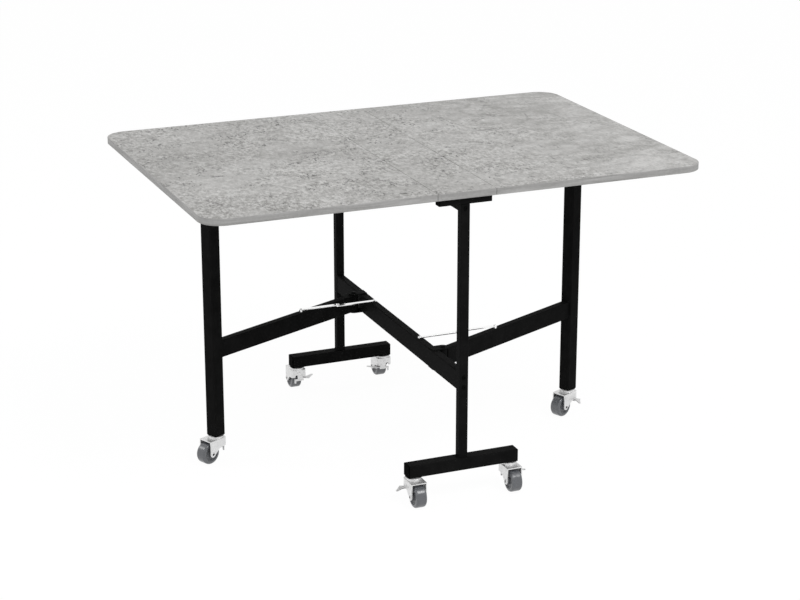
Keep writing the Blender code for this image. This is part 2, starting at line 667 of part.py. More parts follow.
def make_wheel_mesh():
    """A wheel about Y: a hub as wide as the fork, a dished web, and a tyre with round shoulders."""
    eye = bore(AXLE_DIAMETER, steps=WHEEL_STEPS)[0].x
    hub = FORK_WIDTH / 2 - FORK_SHEET - CLEARANCE
    face = WHEEL_WIDTH / 2
    web = face - WHEEL_RECESS
    rim = WHEEL_RIM_DIAMETER / 2
    centre = (WHEEL_RADIUS - TYRE_SHOULDER, face - TYRE_SHOULDER)
    facet = math.pi / WHEEL_STEPS
    spread = 1 / math.cos(facet)  # the flats of the tread touch the wheel's true circle
    shoulder = [(spread * x, y) for x, y in arc(centre, TYRE_SHOULDER, 90, 0, CORNER_STEPS)]
    upper = [(eye, hub), (HUB_DIAMETER / 2, hub), (HUB_DIAMETER / 2, web), (rim, face), *shoulder]
    lower = [(radius, -height) for radius, height in reversed(upper)]
    return moved(lathe(upper + lower, WHEEL_STEPS), Matrix.Rotation(facet, 4, "Z"), CROSSWISE)


def make_lever_mesh(hand):
    """A brake lever about its rivet: a web, a strip across the fork, a tongue to one side, and a shoe."""
    strip = -LEVER_DROP - LEVER_STRIP
    end = -LEVER_CROSS
    web_outline = [*arc((0, 0), LEVER_BOSS, 0, 180, ROUND_STEPS // 2), Vector((-LEVER_HEEL, -LEVER_DROP)),
                   Vector((end, -LEVER_DROP)), Vector((end, strip - LEVER_TAB_DROP)),
                   Vector((end + LEVER_TAB, strip - LEVER_TAB_DROP)), Vector((end + LEVER_TAB, strip)),
                   Vector((LEVER_NECK, strip)), Vector((LEVER_NECK, -LEVER_DROP))]
    web_outline = [Vector((hand * y, z)) for y, z in web_outline]
    hole = bore(LEVER_RIVET_DIAMETER)
    web = moved(prism(web_outline, LEVER_X, LEVER_X + LEVER_SHEET, [hole]), FACING_X)

    inner = TRAIL - WHEEL_RADIUS - LEVER_WHEEL_GAP
    outer = LEVER_X - LEVER_FLARE
    middle = (outer + inner) / 2 + LEVER_SWEEP
    tip = arc((middle, LEVER_LENGTH - LEVER_TIP_RADIUS), LEVER_TIP_RADIUS, 0, 180, ROUND_STEPS // 3)
    tongue = [Vector((LEVER_X, -LEVER_HEEL / 2)), Vector((inner, -LEVER_HEEL / 2)),
              Vector((inner, LEVER_SHOULDER)), *tip, Vector((outer, LEVER_SHOULDER)),
              Vector((LEVER_X, LEVER_NECK))]
    tongue = prism([Vector((x, hand * y)) for x, y in tongue], -LEVER_DROP, -LEVER_DROP + LEVER_SHEET)

    shoe_top = LEVER_Z - SHOE_DROP + LEVER_SHEET
    reach = math.sqrt((WHEEL_RADIUS + SHOE_WHEEL_GAP) ** 2 - (shoe_top - LEVER_SHEET - WHEEL_RADIUS) ** 2)
    start = LEVER_X + LEVER_SHEET / 2
    corners = ((start, SHOE_INNER), (TRAIL - reach, SHOE_INNER), (TRAIL - reach, SHOE_OUTER),
               (start, SHOE_OUTER))
    shoe = prism([Vector((x, hand * y)) for x, y in corners], -SHOE_DROP, -SHOE_DROP + LEVER_SHEET)
    return union(web, [tongue, shoe])


def make_mount_mesh():
    """The part of a castor that stays still: kingpin, upper race and threaded stem."""
    under = FORK_TOP - FORK_SHEET - CLEARANCE
    low = RACE_TOP + CLEARANCE
    high = CASTOR_HEIGHT - CLEARANCE
    kingpin = KINGPIN_DIAMETER / 2
    head = KINGPIN_HEAD_DIAMETER / 2
    disc = MOUNT_DIAMETER / 2
    stem = STEM_DIAMETER / 2
    lip = MOUNT_HEIGHT / 4
    top = CASTOR_HEIGHT + STEM_LENGTH
    return lathe([(0, under - KINGPIN_HEAD_HEIGHT), (head, under - KINGPIN_HEAD_HEIGHT), (head, under),
                  (kingpin, under), (kingpin, low), (disc - lip, low), (disc, low + lip), (disc, high),
                  (stem, high), (stem, top), (0, top)], ROUND_STEPS)


def make_castors(gate_pivots):
    meshes = {
        "fork": make_fork_mesh(),
        "wheel": make_wheel_mesh(),
        "mount": make_mount_mesh(),
        "levers": {hand: make_lever_mesh(hand) for hand in LEVER_HANDS.values()},
    }
    for end, y in (("front", -POST_Y), ("rear", POST_Y)):
        for side, x in (("left", -CASTOR_SPACING / 2), ("right", CASTOR_SPACING / 2)):
            make_castor(f"{end}_{side}", side, meshes, None, (x, y, 0), FOOT_HEADINGS[end])
    for side, gate_pivot in gate_pivots.items():
        make_castor(f"{side}_gate", side, meshes, gate_pivot, (GATE_REACH, 0, 0), GATE_HEADINGS[side])


def make_castor(name, side, meshes, parent, location, heading):
    place(f"{name}_castor_mount", meshes["mount"], "zinc", parent, location)
    swivel = pivot(f"{name}_swivel_axis", parent, location, heading)
    place(f"{name}_castor_fork", meshes["fork"], "zinc", swivel)
    place(f"{name}_castor_wheel", meshes["wheel"], "grey_rubber", swivel, (TRAIL, 0, WHEEL_RADIUS))
    place(f"{name}_brake_lever", meshes["levers"][LEVER_HANDS[side]], "zinc", swivel, (0, 0, LEVER_Z))


def main():
    clear_scene()
    place("centre_strip", board(strip_outline), "laminate")
    make_posts()
    make_feet()
    make_heads()
    make_rails()
    gate_pivots = {}
    for side, turn in (("right", 0.0), ("left", math.pi)):
        side_pivot = pivot(f"{side}_side", turn=turn)
        leaf_pivot = pivot(f"{side}_leaf_axis", side_pivot, (HINGE_X, 0, HINGE_Z))
        gate_pivot = pivot(f"{side}_gate_axis", side_pivot, (GATE_PIVOT_X, -GATE_PIVOT_Y, 0), GATE_TURN)
        make_leaf(side, leaf_pivot)
        make_leaf_hinges(side, side_pivot, leaf_pivot)
        make_gate(side, side_pivot, gate_pivot)
        make_stay(side, side_pivot)
        gate_pivots[side] = gate_pivot
    make_castors(gate_pivots)


main()
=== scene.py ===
"""Looks of the drop-leaf dining table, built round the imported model. Metres, in the model's own frame."""
import math

import bmesh
import bpy
from mathutils import Matrix, Vector


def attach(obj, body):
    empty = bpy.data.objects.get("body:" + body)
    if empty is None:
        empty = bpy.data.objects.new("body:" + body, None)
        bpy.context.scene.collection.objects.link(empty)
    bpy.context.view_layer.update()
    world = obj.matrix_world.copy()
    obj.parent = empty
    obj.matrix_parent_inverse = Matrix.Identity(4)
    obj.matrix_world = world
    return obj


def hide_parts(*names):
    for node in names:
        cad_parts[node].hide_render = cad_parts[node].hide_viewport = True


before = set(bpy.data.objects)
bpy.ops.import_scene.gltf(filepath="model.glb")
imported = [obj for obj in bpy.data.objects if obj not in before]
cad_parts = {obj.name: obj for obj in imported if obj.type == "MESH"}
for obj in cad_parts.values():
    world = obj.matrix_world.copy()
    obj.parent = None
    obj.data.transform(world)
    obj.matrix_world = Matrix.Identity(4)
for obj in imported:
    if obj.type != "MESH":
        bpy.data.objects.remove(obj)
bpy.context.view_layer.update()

# Sizes as in the part's source, first those that all of it shares
CLEARANCE = 0.0003
WELD = 0.0004
OVERCUT = 0.002

# Sizes of the table top
TABLE_LENGTH = 1.240
TABLE_WIDTH = 0.840
TABLE_HEIGHT = 0.750
TOP_THICKNESS = 0.016
TOP_CORNER_RADIUS = 0.055
STRIP_WIDTH = 0.144
SEAM_GAP = 0.0012

# Sizes of the leaf hinges
HINGE_SETBACK = 0.090
HINGE_WING = 0.034
HINGE_SHEET = 0.0015
KNUCKLE_DIAMETER = 0.006

# Sizes of the centre frame
TUBE_WALL = 0.0015
TUBE_CORNER = 0.0022
POST_TUBE = 0.022
POST_SETBACK = 0.020
HEAD_LENGTH = 0.132
HEAD_HEIGHT = 0.016
RAIL_WIDTH = 0.020
RAIL_HEIGHT = 0.046
TOP_RAIL_HEIGHT = 0.036
LOWER_RAIL_TOP = 0.310
FOOT_TUBE = 0.031
FOOT_LENGTH = 0.282
CASTOR_SPACING = 0.246
CAP_THICKNESS = 0.003
CAP_CHAMFER = 0.0012

# Sizes of the gate legs
GATE_TUBE = 0.032
GATE_REACH = 0.493
GATE_OPEN_ANGLE = math.radians(65)
GATE_SETBACK = 0.168
FOLD_CLEARANCE = 0.003
BARREL_DIAMETER = 0.022
ARM_WIDTH = 0.020
ARM_HEIGHT = 0.044
GATE_PIN_DIAMETER = 0.008
GATE_PIN_HEAD_DIAMETER = 0.013
GATE_PIN_HEAD_HEIGHT = 0.0025
EAR_THICKNESS = 0.003
EAR_WIDTH = 0.028
PAD_THICKNESS = 0.003
SOCKET_FLANGE = 0.002

# Sizes of the folding stays
STAY_SETBACK = 0.082
STAY_WIDTH = 0.011
STAY_THICKNESS = 0.002
STAY_STANDOFF = 0.002
STAY_LAYER_GAP = 0.0004
STAY_PIN_DIAMETER = 0.0045
STAY_HEAD_DIAMETER = 0.008
STAY_HEAD_HEIGHT = 0.002
STAY_SHOULDER_DIAMETER = 0.010
STAY_TAIL_HEIGHT = 0.0014

# Sizes of the castors
WHEEL_DIAMETER = 0.054
WHEEL_WIDTH = 0.027
TYRE_SHOULDER = 0.005
WHEEL_RIM_DIAMETER = 0.037
WHEEL_RECESS = 0.0035
HUB_DIAMETER = 0.016
TRAIL = 0.028
AXLE_DIAMETER = 0.006
AXLE_HEAD_DIAMETER = 0.010
AXLE_HEAD_HEIGHT = 0.0015
FORK_WIDTH = 0.039
FORK_SHEET = 0.0025
FORK_LEAD = 0.0185
FORK_CORNER = 0.008
FORK_BOSS_RADIUS = 0.0080
FORK_BOSS_START_DEGREES = 205
FORK_SKIRT = 0.0200
FORK_WALL = 0.0135
FORK_WINDOW_CORNER = 0.0040
FORK_KNEE = 0.006
FORK_KNEE_DROP = 0.004
WHEEL_TOP_GAP = 0.0045
RACE_DIAMETER = 0.036
RACE_HEIGHT = 0.0030
MOUNT_DIAMETER = 0.040
MOUNT_HEIGHT = 0.0030
KINGPIN_DIAMETER = 0.008
KINGPIN_HEAD_DIAMETER = 0.014
KINGPIN_HEAD_HEIGHT = 0.0025

# Sizes of the brake levers
LEVER_SHEET = 0.002
LEVER_PIVOT_DROP = 0.006
LEVER_BOSS = 0.0055
LEVER_DROP = 0.0165
LEVER_NECK = 0.013
LEVER_HEEL = 0.003
LEVER_LENGTH = 0.045
LEVER_TIP_RADIUS = 0.0030
LEVER_SHOULDER = 0.026
LEVER_FLARE = 0.006
LEVER_SWEEP = 0.015
LEVER_STRIP = 0.0060
LEVER_CROSS = 0.0125
LEVER_TAB = 0.0045
LEVER_TAB_DROP = 0.0060
LEVER_WHEEL_GAP = 0.006
LEVER_RIVET_DIAMETER = 0.004
LEVER_RIVET_HEAD_DIAMETER = 0.008
LEVER_RIVET_HEAD_HEIGHT = 0.0015
SHOE_INNER = 0.0048
SHOE_OUTER = 0.0110
SHOE_DROP = 0.0035
SHOE_WHEEL_GAP = 0.0036

# Sizes that only the scene has: edges
EDGING_THICKNESS = 0.0010
EDGING_LINE = 0.00006
EDGE_ROUND = 0.0012
BOARD_CORNER = 0.0002
EASED_EDGE = 0.0003
PRESSED_EDGE = 0.0004

# Bolts, screws and welds. A slot is its length, width and corner radius.
BOLT_HEAD_DIAMETER = 0.011
BOLT_HEAD_HEIGHT = 0.003
BOLT_SOCKET = 0.0045
BOLT_SOCKET_FLOOR = BOLT_HEAD_HEIGHT * 0.45
BOLT_PITCH = 0.024
TOP_BOLT_RISE = 0.0105
SCREW_HEAD_DIAMETER = 0.009
SCREW_HEAD_HEIGHT = 0.0025
SCREW_SLOT = (0.0052, 0.0011, 0.0004)
SCREW_SLOT_FLOOR = SCREW_HEAD_HEIGHT / 2
SCREW_SPACING = 0.090
HINGE_SCREW_DIAMETER = 0.006
HINGE_SCREW_RIM = 0.0002
HINGE_SCREW_CROWN = 0.0006
HINGE_SCREW_SLOT = (0.0034, 0.0008, 0.0003)
HINGE_SCREW_SLOT_FLOOR = 0.0004
HINGE_SCREW_PITCH = 0.016
OUTER_SCREW_OFFSET = 0.006
MIDDLE_SCREW_OFFSET = -0.004
WELD_BEAD = 0.0016
WELD_SWELL = WELD_BEAD * 0.6

# Caps, sockets, barrels and studs
CAP_LINE = 0.0002
CAP_EASE = CAP_CHAMFER * 0.35
CAP_LIP = CAP_CHAMFER * 2.2
CAP_DISH = CAP_CHAMFER * 3
CAP_DISH_DEPTH = CAP_CHAMFER / 2
SOCKET_EASE = 0.0004
BARREL_RIM = 0.0006
ARM_START = BARREL_DIAMETER * 0.40
STUD_SINK = 0.0002

# Castor details. A curve is given by steps outward or inward and up or down.
RACE_SINK = 0.0002
RACE_FILLET = ((0.0004, -RACE_SINK), (0.0002, 0.0003), (0.0, 0.0010))
MOUNT_RIM_SHARE = 0.62
MOUNT_SHOULDER = ((0.0006, 0.0006), (0.0030, 0.0010))
MOUNT_TOP_INSET = 0.0036
TYRE_LIP = ((0.0, 0.0016), (0.0004, 0.0004), (0.0012, 0.0))
PARTING_LINE = 0.0004
PARTING_LINE_DEPTH = 0.0001
CORE_GAP = 0.0001
CORE_RING = 0.0024
CORE_RING_FOOT = 0.0035
CORE_RING_DROP = 0.0014
CORE_WEB_RISE = 0.0006
HUB_EASE = 0.0005
HUB_FILLET = 0.001
AXLE_SOCKET_DIAMETER = 0.0066
AXLE_SOCKET_EASE = 0.0003
AXLE_SOCKET_FLOOR = AXLE_HEAD_HEIGHT / 4
LEVER_RIVET_GAP = 0.0001

# Facets
CORNER_STEPS = 6
TOP_CORNER_STEPS = 40
EDGE_STEPS = 4
BEVEL_STEPS = 2
BEAD_STEPS = 6
ROLL_STEPS = 6
SLOT_STEPS = 2
TYRE_STEPS = 8
HEXAGON = 6
ROUND_STEPS = 32
DISC_STEPS = 56
WHEEL_STEPS = 80
SHARP_ANGLE = math.radians(40)
FLAT_ANGLE = math.radians(0.5)
MERGE_DISTANCE = 1e-6
SLIVER = 2e-6

# Stage. A lamp has a place, a target, a size and a power.
FLOOR_REACH = 40.0
FLOOR_THICKNESS = 0.02
FLOOR_COLOUR = (0.9, 0.9, 0.9, 1.0)
FLOOR_WHITE = 1.025
FLOOR_WHITE_SHARE = 0.94
WORLD_LIGHT = 0.51
LAMPS = {"key": ((1.0, -2.8, 4.2), (0, 0, 0.5), 2.2, 77.0),
         "fill": ((-3.4, -2.4, 2.8), (0, 0, 0.4), 2.0, 14.0),
         "rim": ((-3.8, 1.8, 3.2), (0, 0, 0.3), 1.6, 24.0)}
CAMERA_PLACE = (-1.9041, -4.6114, 2.0384)
CAMERA_PITCH = 0.32422
CAMERA_HEADING = -0.39329
FOCAL_PIXELS = 2118.24
IMAGE_WIDTH = 800
SENSOR_WIDTH = 36.0
VIEW_DISTANCE = 200.0

# Places that follow
WHEEL_RADIUS = WHEEL_DIAMETER / 2
FORK_TOP = WHEEL_DIAMETER + WHEEL_TOP_GAP + FORK_SHEET
RACE_TOP = FORK_TOP + RACE_HEIGHT
CASTOR_HEIGHT = RACE_TOP + MOUNT_HEIGHT + 2 * CLEARANCE
FOOT_TOP = CASTOR_HEIGHT + FOOT_TUBE
UNDERSIDE = TABLE_HEIGHT - TOP_THICKNESS
SEAT = UNDERSIDE - CLEARANCE
HEAD_BOTTOM = SEAT - HEAD_HEIGHT
TOP_RAIL_BOTTOM = SEAT - TOP_RAIL_HEIGHT
LOWER_RAIL_BOTTOM = LOWER_RAIL_TOP - RAIL_HEIGHT
LOWER_RAIL_MIDDLE = LOWER_RAIL_TOP - RAIL_HEIGHT / 2
ARM_TOP = LOWER_RAIL_MIDDLE + ARM_HEIGHT / 2
POST_Y = TABLE_WIDTH / 2 - POST_SETBACK
RAIL_LENGTH = 2 * POST_Y - POST_TUBE - 2 * CLEARANCE
LEAF_START = STRIP_WIDTH / 2 + SEAM_GAP
HINGE_X = STRIP_WIDTH / 2 + SEAM_GAP / 2
HINGE_Y = TABLE_WIDTH / 2 - HINGE_SETBACK
HINGE_Z = SEAT - KNUCKLE_DIAMETER / 2
GATE_PIVOT_X = RAIL_WIDTH / 2 + BARREL_DIAMETER / 2 + FOLD_CLEARANCE
GATE_PIVOT_Y = POST_Y - GATE_SETBACK
GATE_TURN = math.pi / 2 - GATE_OPEN_ANGLE
STAY_RAIL_Y = GATE_PIVOT_Y - STAY_SETBACK
STAY_ARM_REACH = STAY_SETBACK / math.cos(GATE_OPEN_ANGLE)
STAY_SPAN = GATE_PIVOT_X + STAY_ARM_REACH * math.sin(GATE_OPEN_ANGLE)
STAY_LINK = STAY_SPAN / 2
STAY_LOW = LOWER_RAIL_TOP + STAY_STANDOFF
STAY_HIGH = STAY_LOW + STAY_THICKNESS + STAY_LAYER_GAP
LEVER_X = -FORK_LEAD + FORK_SHEET + CLEARANCE
LEVER_Z = FORK_TOP - FORK_SHEET - LEVER_PIVOT_DROP

# Turns for shapes that are made along Z
ALONG_X = Matrix.Rotation(math.pi / 2, 4, "Y")
ALONG_Y = Matrix.Rotation(-math.pi / 2, 4, "X")
CROSSWISE = Matrix.Rotation(math.pi / 2, 4, "X")
FACING_X = Matrix(((0, 0, 1), (1, 0, 0), (0, 1, 0))).to_4x4()
HALF_TURN = Matrix.Rotation(math.pi, 4, "Z")
UPSIDE_DOWN = Matrix.Rotation(math.pi, 4, "X")
HERE = Matrix.Identity(4)
SIDES = {"right": HERE, "left": HALF_TURN}


def shift(x=0.0, y=0.0, z=0.0):
    return Matrix.Translation((x, y, z))


def turn(angle):
    return Matrix.Rotation(angle, 4, "Z")


# Materials. Most of a noise lies in MOST_NOISE, and a sheen is a span of roughness.

MOST_NOISE = (0.3, 0.7)
LAMINATE_SHEEN = (0.50, 0.62)
SHEEN_SPREAD = 0.12


class Nodes:
    """A material's node tree, with short calls for the nodes that the finishes share."""

    def __init__(self, name):
        self.material = bpy.data.materials.new(name)
        self.material.use_nodes = True
        self.tree = self.material.node_tree
        self.shader = self.tree.nodes["Principled BSDF"]
        self.place = self.tree.nodes.new("ShaderNodeTexCoord").outputs["Object"]

    def link(self, source, target):
        self.tree.links.new(source, target)

    def stretched(self, x, y, z):
        node = self.tree.nodes.new("ShaderNodeMapping")
        node.inputs["Scale"].default_value = (x, y, z)
        self.link(self.place, node.inputs["Vector"])
        return node.outputs["Vector"]

    def noise(self, scale, detail=2.0, roughness=0.5, distortion=0.0, vector=None):
        node = self.tree.nodes.new("ShaderNodeTexNoise")
        node.inputs["Scale"].default_value = scale
        node.inputs["Detail"].default_value = detail
        node.inputs["Roughness"].default_value = roughness
        node.inputs["Distortion"].default_value = distortion
        self.link(vector or self.place, node.inputs["Vector"])
        return node.outputs["Fac"]

    def cells(self, scale, vector):
        """The distance to the nearest edge between cells."""
        node = self.tree.nodes.new("ShaderNodeTexVoronoi")
        node.feature = "DISTANCE_TO_EDGE"
        node.inputs["Scale"].default_value = scale
        self.link(vector, node.inputs["Vector"])
        return node.outputs["Distance"]

    def along_x(self):
        node = self.tree.nodes.new("ShaderNodeSeparateXYZ")
        self.link(self.place, node.inputs["Vector"])
        return node.outputs["X"]

    def spread(self, value, span, result=(0.0, 1.0)):
        """A value mapped from one span to another, and held at its ends."""
        node = self.tree.nodes.new("ShaderNodeMapRange")
        for name, number in zip(("From Min", "From Max", "To Min", "To Max"), (*span, *result)):
            node.inputs[name].default_value = number
        self.link(value, node.inputs["Value"])
        return node.outputs["Result"]

    def combine(self, operation, first, second):
        """Two values in a sum, product or the like. Either can be a plain number."""
        node = self.tree.nodes.new("ShaderNodeMath")
        node.operation = operation
        for socket, value in zip(node.inputs, (first, second)):
            if isinstance(value, float):
                socket.default_value = value
            else:
                self.link(value, socket)
        return node.outputs["Value"]

    def mix(self, factor, first, second):
        """A blend of two colours. Either can be a plain colour."""
        node = self.tree.nodes.new("ShaderNodeMix")
        node.data_type = "RGBA"
        self.link(factor, node.inputs["Factor"])
        for socket, colour in ((node.inputs["A"], first), (node.inputs["B"], second)):
            if isinstance(colour, tuple):
                socket.default_value = (*colour, 1.0)
            else:
                self.link(colour, socket)
        return node.outputs["Result"]

    def bump(self, height, strength, distance):
        node = self.tree.nodes.new("ShaderNodeBump")
        node.inputs["Strength"].default_value = strength
        node.inputs["Distance"].default_value = distance
        self.link(height, node.inputs["Height"])
        self.link(node.outputs["Normal"], self.shader.inputs["Normal"])

    def finish(self, colour, roughness, metallic=0.0, specular=0.5):
        self.link(colour, self.shader.inputs["Base Color"])
        self.link(roughness, self.shader.inputs["Roughness"])
        self.shader.inputs["Metallic"].default_value = metallic
        self.shader.inputs["Specular IOR Level"].default_value = specular
        return self.material


def grey(level, warm=0.0):
    return (level + warm / 2, level, level - warm)


def concrete(name, light, dark, pit_depth):
    """Printed concrete laminate: clouds, trowel strokes, patches of grain, clusters of dark pits, and cracks.

    It is rough towards the left end of the table and calm towards the right.
    """
    n = Nodes(name)
    upright = n.stretched(1.5, 0.9, 1.0)
    rough = n.spread(n.along_x(), (0.10, 0.45), (1.0, 0.45))
    calm = n.spread(n.along_x(), (-0.05, 0.35))
    clouds = n.noise(4.0, detail=4.0, roughness=0.6, distortion=0.4)
    strokes = n.noise(24.0, detail=6.0, roughness=0.68, distortion=0.9)
    sweeps = n.noise(10.0, detail=5.0, roughness=0.68, distortion=1.8, vector=n.stretched(0.8, 1.2, 1.0))
    grain = n.combine("SUBTRACT", n.noise(90.0, detail=3.0, roughness=0.75, vector=upright), 0.5)
    patches = n.spread(n.noise(7.0, detail=3.0, roughness=0.6, distortion=0.5), (0.36, 0.62), (0.30, 1.05))
    patches = n.combine("MULTIPLY", patches, rough)

    tone = n.combine("ADD", n.spread(clouds, (0.36, 0.64), (0.02, 0.30)),
                     n.spread(strokes, MOST_NOISE, (0.12, 0.60)))
    tone = n.combine("ADD", tone, n.combine("MULTIPLY", n.spread(sweeps, (0.38, 0.62), (-0.13, 0.27)), calm))
    tone = n.combine("ADD", tone, n.combine("MULTIPLY", n.combine("MULTIPLY", grain, 3.9), patches))
    base = n.mix(tone, grey(dark, warm=0.012), grey(light, warm=0.012))

    pit_field = n.spread(n.noise(13.0, detail=4.0, roughness=0.65, distortion=0.6), (0.47, 0.60))
    pits = n.spread(n.noise(110.0, detail=2.0, roughness=0.6, distortion=0.2, vector=upright), (0.56, 0.62))
    pits = n.combine("MULTIPLY", n.combine("MULTIPLY", pits, pit_field), rough)
    cracks = n.spread(n.cells(5.5, n.stretched(1.0, 1.4, 1.0)), (0.0, 0.016), (1.0, 0.0))
    breaks = n.spread(n.noise(22.0, detail=4.0, roughness=0.65), (0.52, 0.64))
    cracks = n.combine("MULTIPLY", cracks, breaks)
    marks = n.combine("MAXIMUM", pits, n.combine("MULTIPLY", cracks, 0.8))
    colour = n.mix(n.combine("MULTIPLY", marks, pit_depth), base, grey(dark * 0.3, warm=0.004))
    relief = n.combine("SUBTRACT", n.combine("MULTIPLY", grain, 0.25), marks)
    n.bump(relief, strength=0.25, distance=0.0003)
    return n.finish(colour, n.spread(strokes, MOST_NOISE, LAMINATE_SHEEN))


def edge_band(name, light, dark):
    """Printed edging: the laminate's grain drawn out into long streaks round the edge."""
    n = Nodes(name)
    streaks = n.noise(60.0, detail=4.0, roughness=0.65, distortion=0.2, vector=n.stretched(0.10, 0.10, 2.0))
    grain = n.noise(150.0, detail=3.0, roughness=0.7)
    tone = n.combine("ADD", n.spread(streaks, (0.32, 0.66), (0.0, 0.75)),
                     n.spread(grain, MOST_NOISE, (0.0, 0.25)))
    colour = n.mix(tone, grey(dark, warm=0.007), grey(light, warm=0.007))
    n.bump(grain, strength=0.15, distance=0.0002)
    return n.finish(colour, n.spread(streaks, MOST_NOISE, LAMINATE_SHEEN))


def powder_coat(name, low, high):
    """Powder coat with its fine orange peel."""
    n = Nodes(name)
    peel = n.noise(900.0)
    dust = n.noise(35.0, detail=4.0, roughness=0.6)
    colour = n.mix(n.spread(dust, (0.35, 0.75)), grey(low), grey(high))
    n.bump(peel, strength=0.22, distance=0.0002)
    return n.finish(colour, n.spread(dust, MOST_NOISE, (0.40, 0.52)), specular=0.005)


def zinc(name, low, high, smooth, relief=0.06, metallic=0.85):
    """Zinc plate: faint cloudy passivation and fine rolling lines."""
    n = Nodes(name)
    clouds = n.noise(60.0, detail=4.0, roughness=0.6)
    lines = n.noise(500.0, vector=n.stretched(0.15, 1.0, 1.0))
    colour = n.mix(n.spread(clouds, MOST_NOISE), grey(low), grey(high))
    n.bump(lines, strength=relief, distance=0.0001)
    return n.finish(colour, n.spread(clouds, MOST_NOISE, (smooth, smooth + SHEEN_SPREAD)), metallic)


def moulded(name, low, high, smooth, relief=0.15, specular=0.5):
    """Plastic, rubber or blacking with a fine rough skin."""
    n = Nodes(name)
    skin = n.noise(700.0, detail=3.0, roughness=0.6)
    wear = n.noise(45.0, detail=4.0, roughness=0.6)
    colour = n.mix(n.spread(wear, MOST_NOISE), low, high)
    n.bump(skin, strength=relief, distance=0.0002)
    return n.finish(colour, n.spread(wear, MOST_NOISE, (smooth, smooth + SHEEN_SPREAD)), specular=specular)


LAMINATE = concrete("concrete_laminate", light=0.614, dark=0.252, pit_depth=0.92)
# Painted shade, in part: the edging is darker than the top's laminate partly as its own print and partly to
# stand for the shade on the top's side faces.
EDGE_BAND_WITH_PAINTED_SHADE = edge_band("concrete_edge_band_and_painted_shade", light=0.47, dark=0.23)
BLACK_STEEL = powder_coat("black_powder_coat", low=0.0080, high=0.0122)
ZINC = zinc("zinc_pressing", low=0.70, high=0.82, smooth=0.32, metallic=0.76)
BRIGHT_ZINC = zinc("zinc_bright_bar", low=0.90, high=0.97, smooth=0.06, metallic=1.0)
BLACK_OXIDE = moulded("black_oxide", grey(0.002), grey(0.005), smooth=0.36, specular=0.02)
DULL_ZINC = zinc("zinc_lever", low=0.62, high=0.74, smooth=0.34, relief=0.11)
# Painted shade: the axle sockets' floors take this near-black finish to stand for the shade inside the holes.
PAINTED_SOCKET_SHADE = moulded("axle_socket_painted_shade", grey(0.004), grey(0.010), smooth=0.5, specular=0.1)
BLACK_PLASTIC = moulded("black_plastic", grey(0.002), grey(0.004), smooth=0.42, specular=0.002)
TYRE_GREY = moulded("grey_tread", (0.080, 0.085, 0.096), (0.100, 0.106, 0.118), smooth=0.17, relief=0.01,
                    specular=1.0)
HUB_GREY = moulded("grey_wheel_core", (0.110, 0.115, 0.123), (0.138, 0.143, 0.151), smooth=0.40)


# Outlines

def arc(centre, radius, start, end, steps):
    """Points on an arc between two angles in degrees, both ends included."""
    angles = [math.radians(start + (end - start) * i / steps) for i in range(steps + 1)]
    return [Vector((centre[0] + radius * math.cos(a), centre[1] + radius * math.sin(a))) for a in angles]


def quarter_turn(steps):
    """Angles from zero to a right angle, both ends included."""
    return [math.pi / 2 * i / steps for i in range(steps + 1)]


def circle(diameter, steps=ROUND_STEPS, centre=(0, 0)):
    return arc(centre, diameter / 2, 0, 360, steps)[:-1]


def bore(diameter, centre=(0, 0)):
    """A round hole for a pin, with its clearance."""
    return circle(diameter + 2 * CLEARANCE, centre=centre)


def rounded_rectangle(width, depth, radius, steps=CORNER_STEPS):
    x = width / 2 - radius
    y = depth / 2 - radius
    corners = [((x, -y), -90), ((x, y), 0), ((-x, y), 90), ((-x, -y), 180)]
    return [point for centre, start in corners for point in arc(centre, radius, start, start + 90, steps)]


def tube_outline(width, depth, inset=0.0):
    """A tube's outside, or a line that runs round within it at an inset."""
    radius = max(TUBE_CORNER - inset, TUBE_CORNER / 4)
    return rounded_rectangle(width - 2 * inset, depth - 2 * inset, radius)


def dome(diameter, height, base=0.0, flat=0.45, steps=4):
    """The profile of a round head, from its rim at a base height to the axis. A negative height hangs it."""
    radius = diameter / 2
    curve = [(radius * (flat + (1 - flat) * math.cos(a)), base + height * math.sin(a))
             for a in quarter_turn(steps)]
    return [*curve, (0, base + height)]


def mirrored(profile):
    """The same profile below zero, in reverse order."""
    return [(radius, -height) for radius, height in reversed(profile)]


# Solids

def finished(bm):
    """A mesh with its faces turned outward."""
    bmesh.ops.recalc_face_normals(bm, faces=bm.faces)
    mesh = bpy.data.meshes.new("shape")
    bm.to_mesh(mesh)
    bm.free()
    return mesh


def prism(outline, bottom, top, holes=()):
    """An outline with holes, raised between two heights along Z."""
    bm = bmesh.new()
    edges = []
    for loop in (outline, *holes):
        verts = [bm.verts.new((x, y, bottom)) for x, y in loop]
        edges += [bm.edges.new((verts[i - 1], verts[i])) for i in range(len(verts))]
    cap = bmesh.ops.triangle_fill(bm, edges=edges, use_beauty=True)
    faces = [item for item in cap["geom"] if isinstance(item, bmesh.types.BMFace)]
    raised = bmesh.ops.extrude_face_region(bm, geom=faces)
    verts = [item for item in raised["geom"] if isinstance(item, bmesh.types.BMVert)]
    bmesh.ops.translate(bm, verts=verts, vec=(0, 0, top - bottom))
    return finished(bm)


def lathe(profile, steps=ROUND_STEPS):
    """A profile of radius and height pairs turned about Z: a solid if it ends on the axis, else a ring."""
    bm = bmesh.new()
    verts = [bm.verts.new((radius, 0, height)) for radius, height in profile]
    edges = [bm.edges.new(pair) for pair in zip(verts, verts[1:])]
    if profile[0][0] > 0:
        edges.append(bm.edges.new((verts[-1], verts[0])))
    bmesh.ops.spin(bm, geom=verts + edges, cent=(0, 0, 0), axis=(0, 0, 1), angle=2 * math.pi, steps=steps,
                   use_merge=True)
    bmesh.ops.remove_doubles(bm, verts=bm.verts, dist=MERGE_DISTANCE)
    return finished(bm)


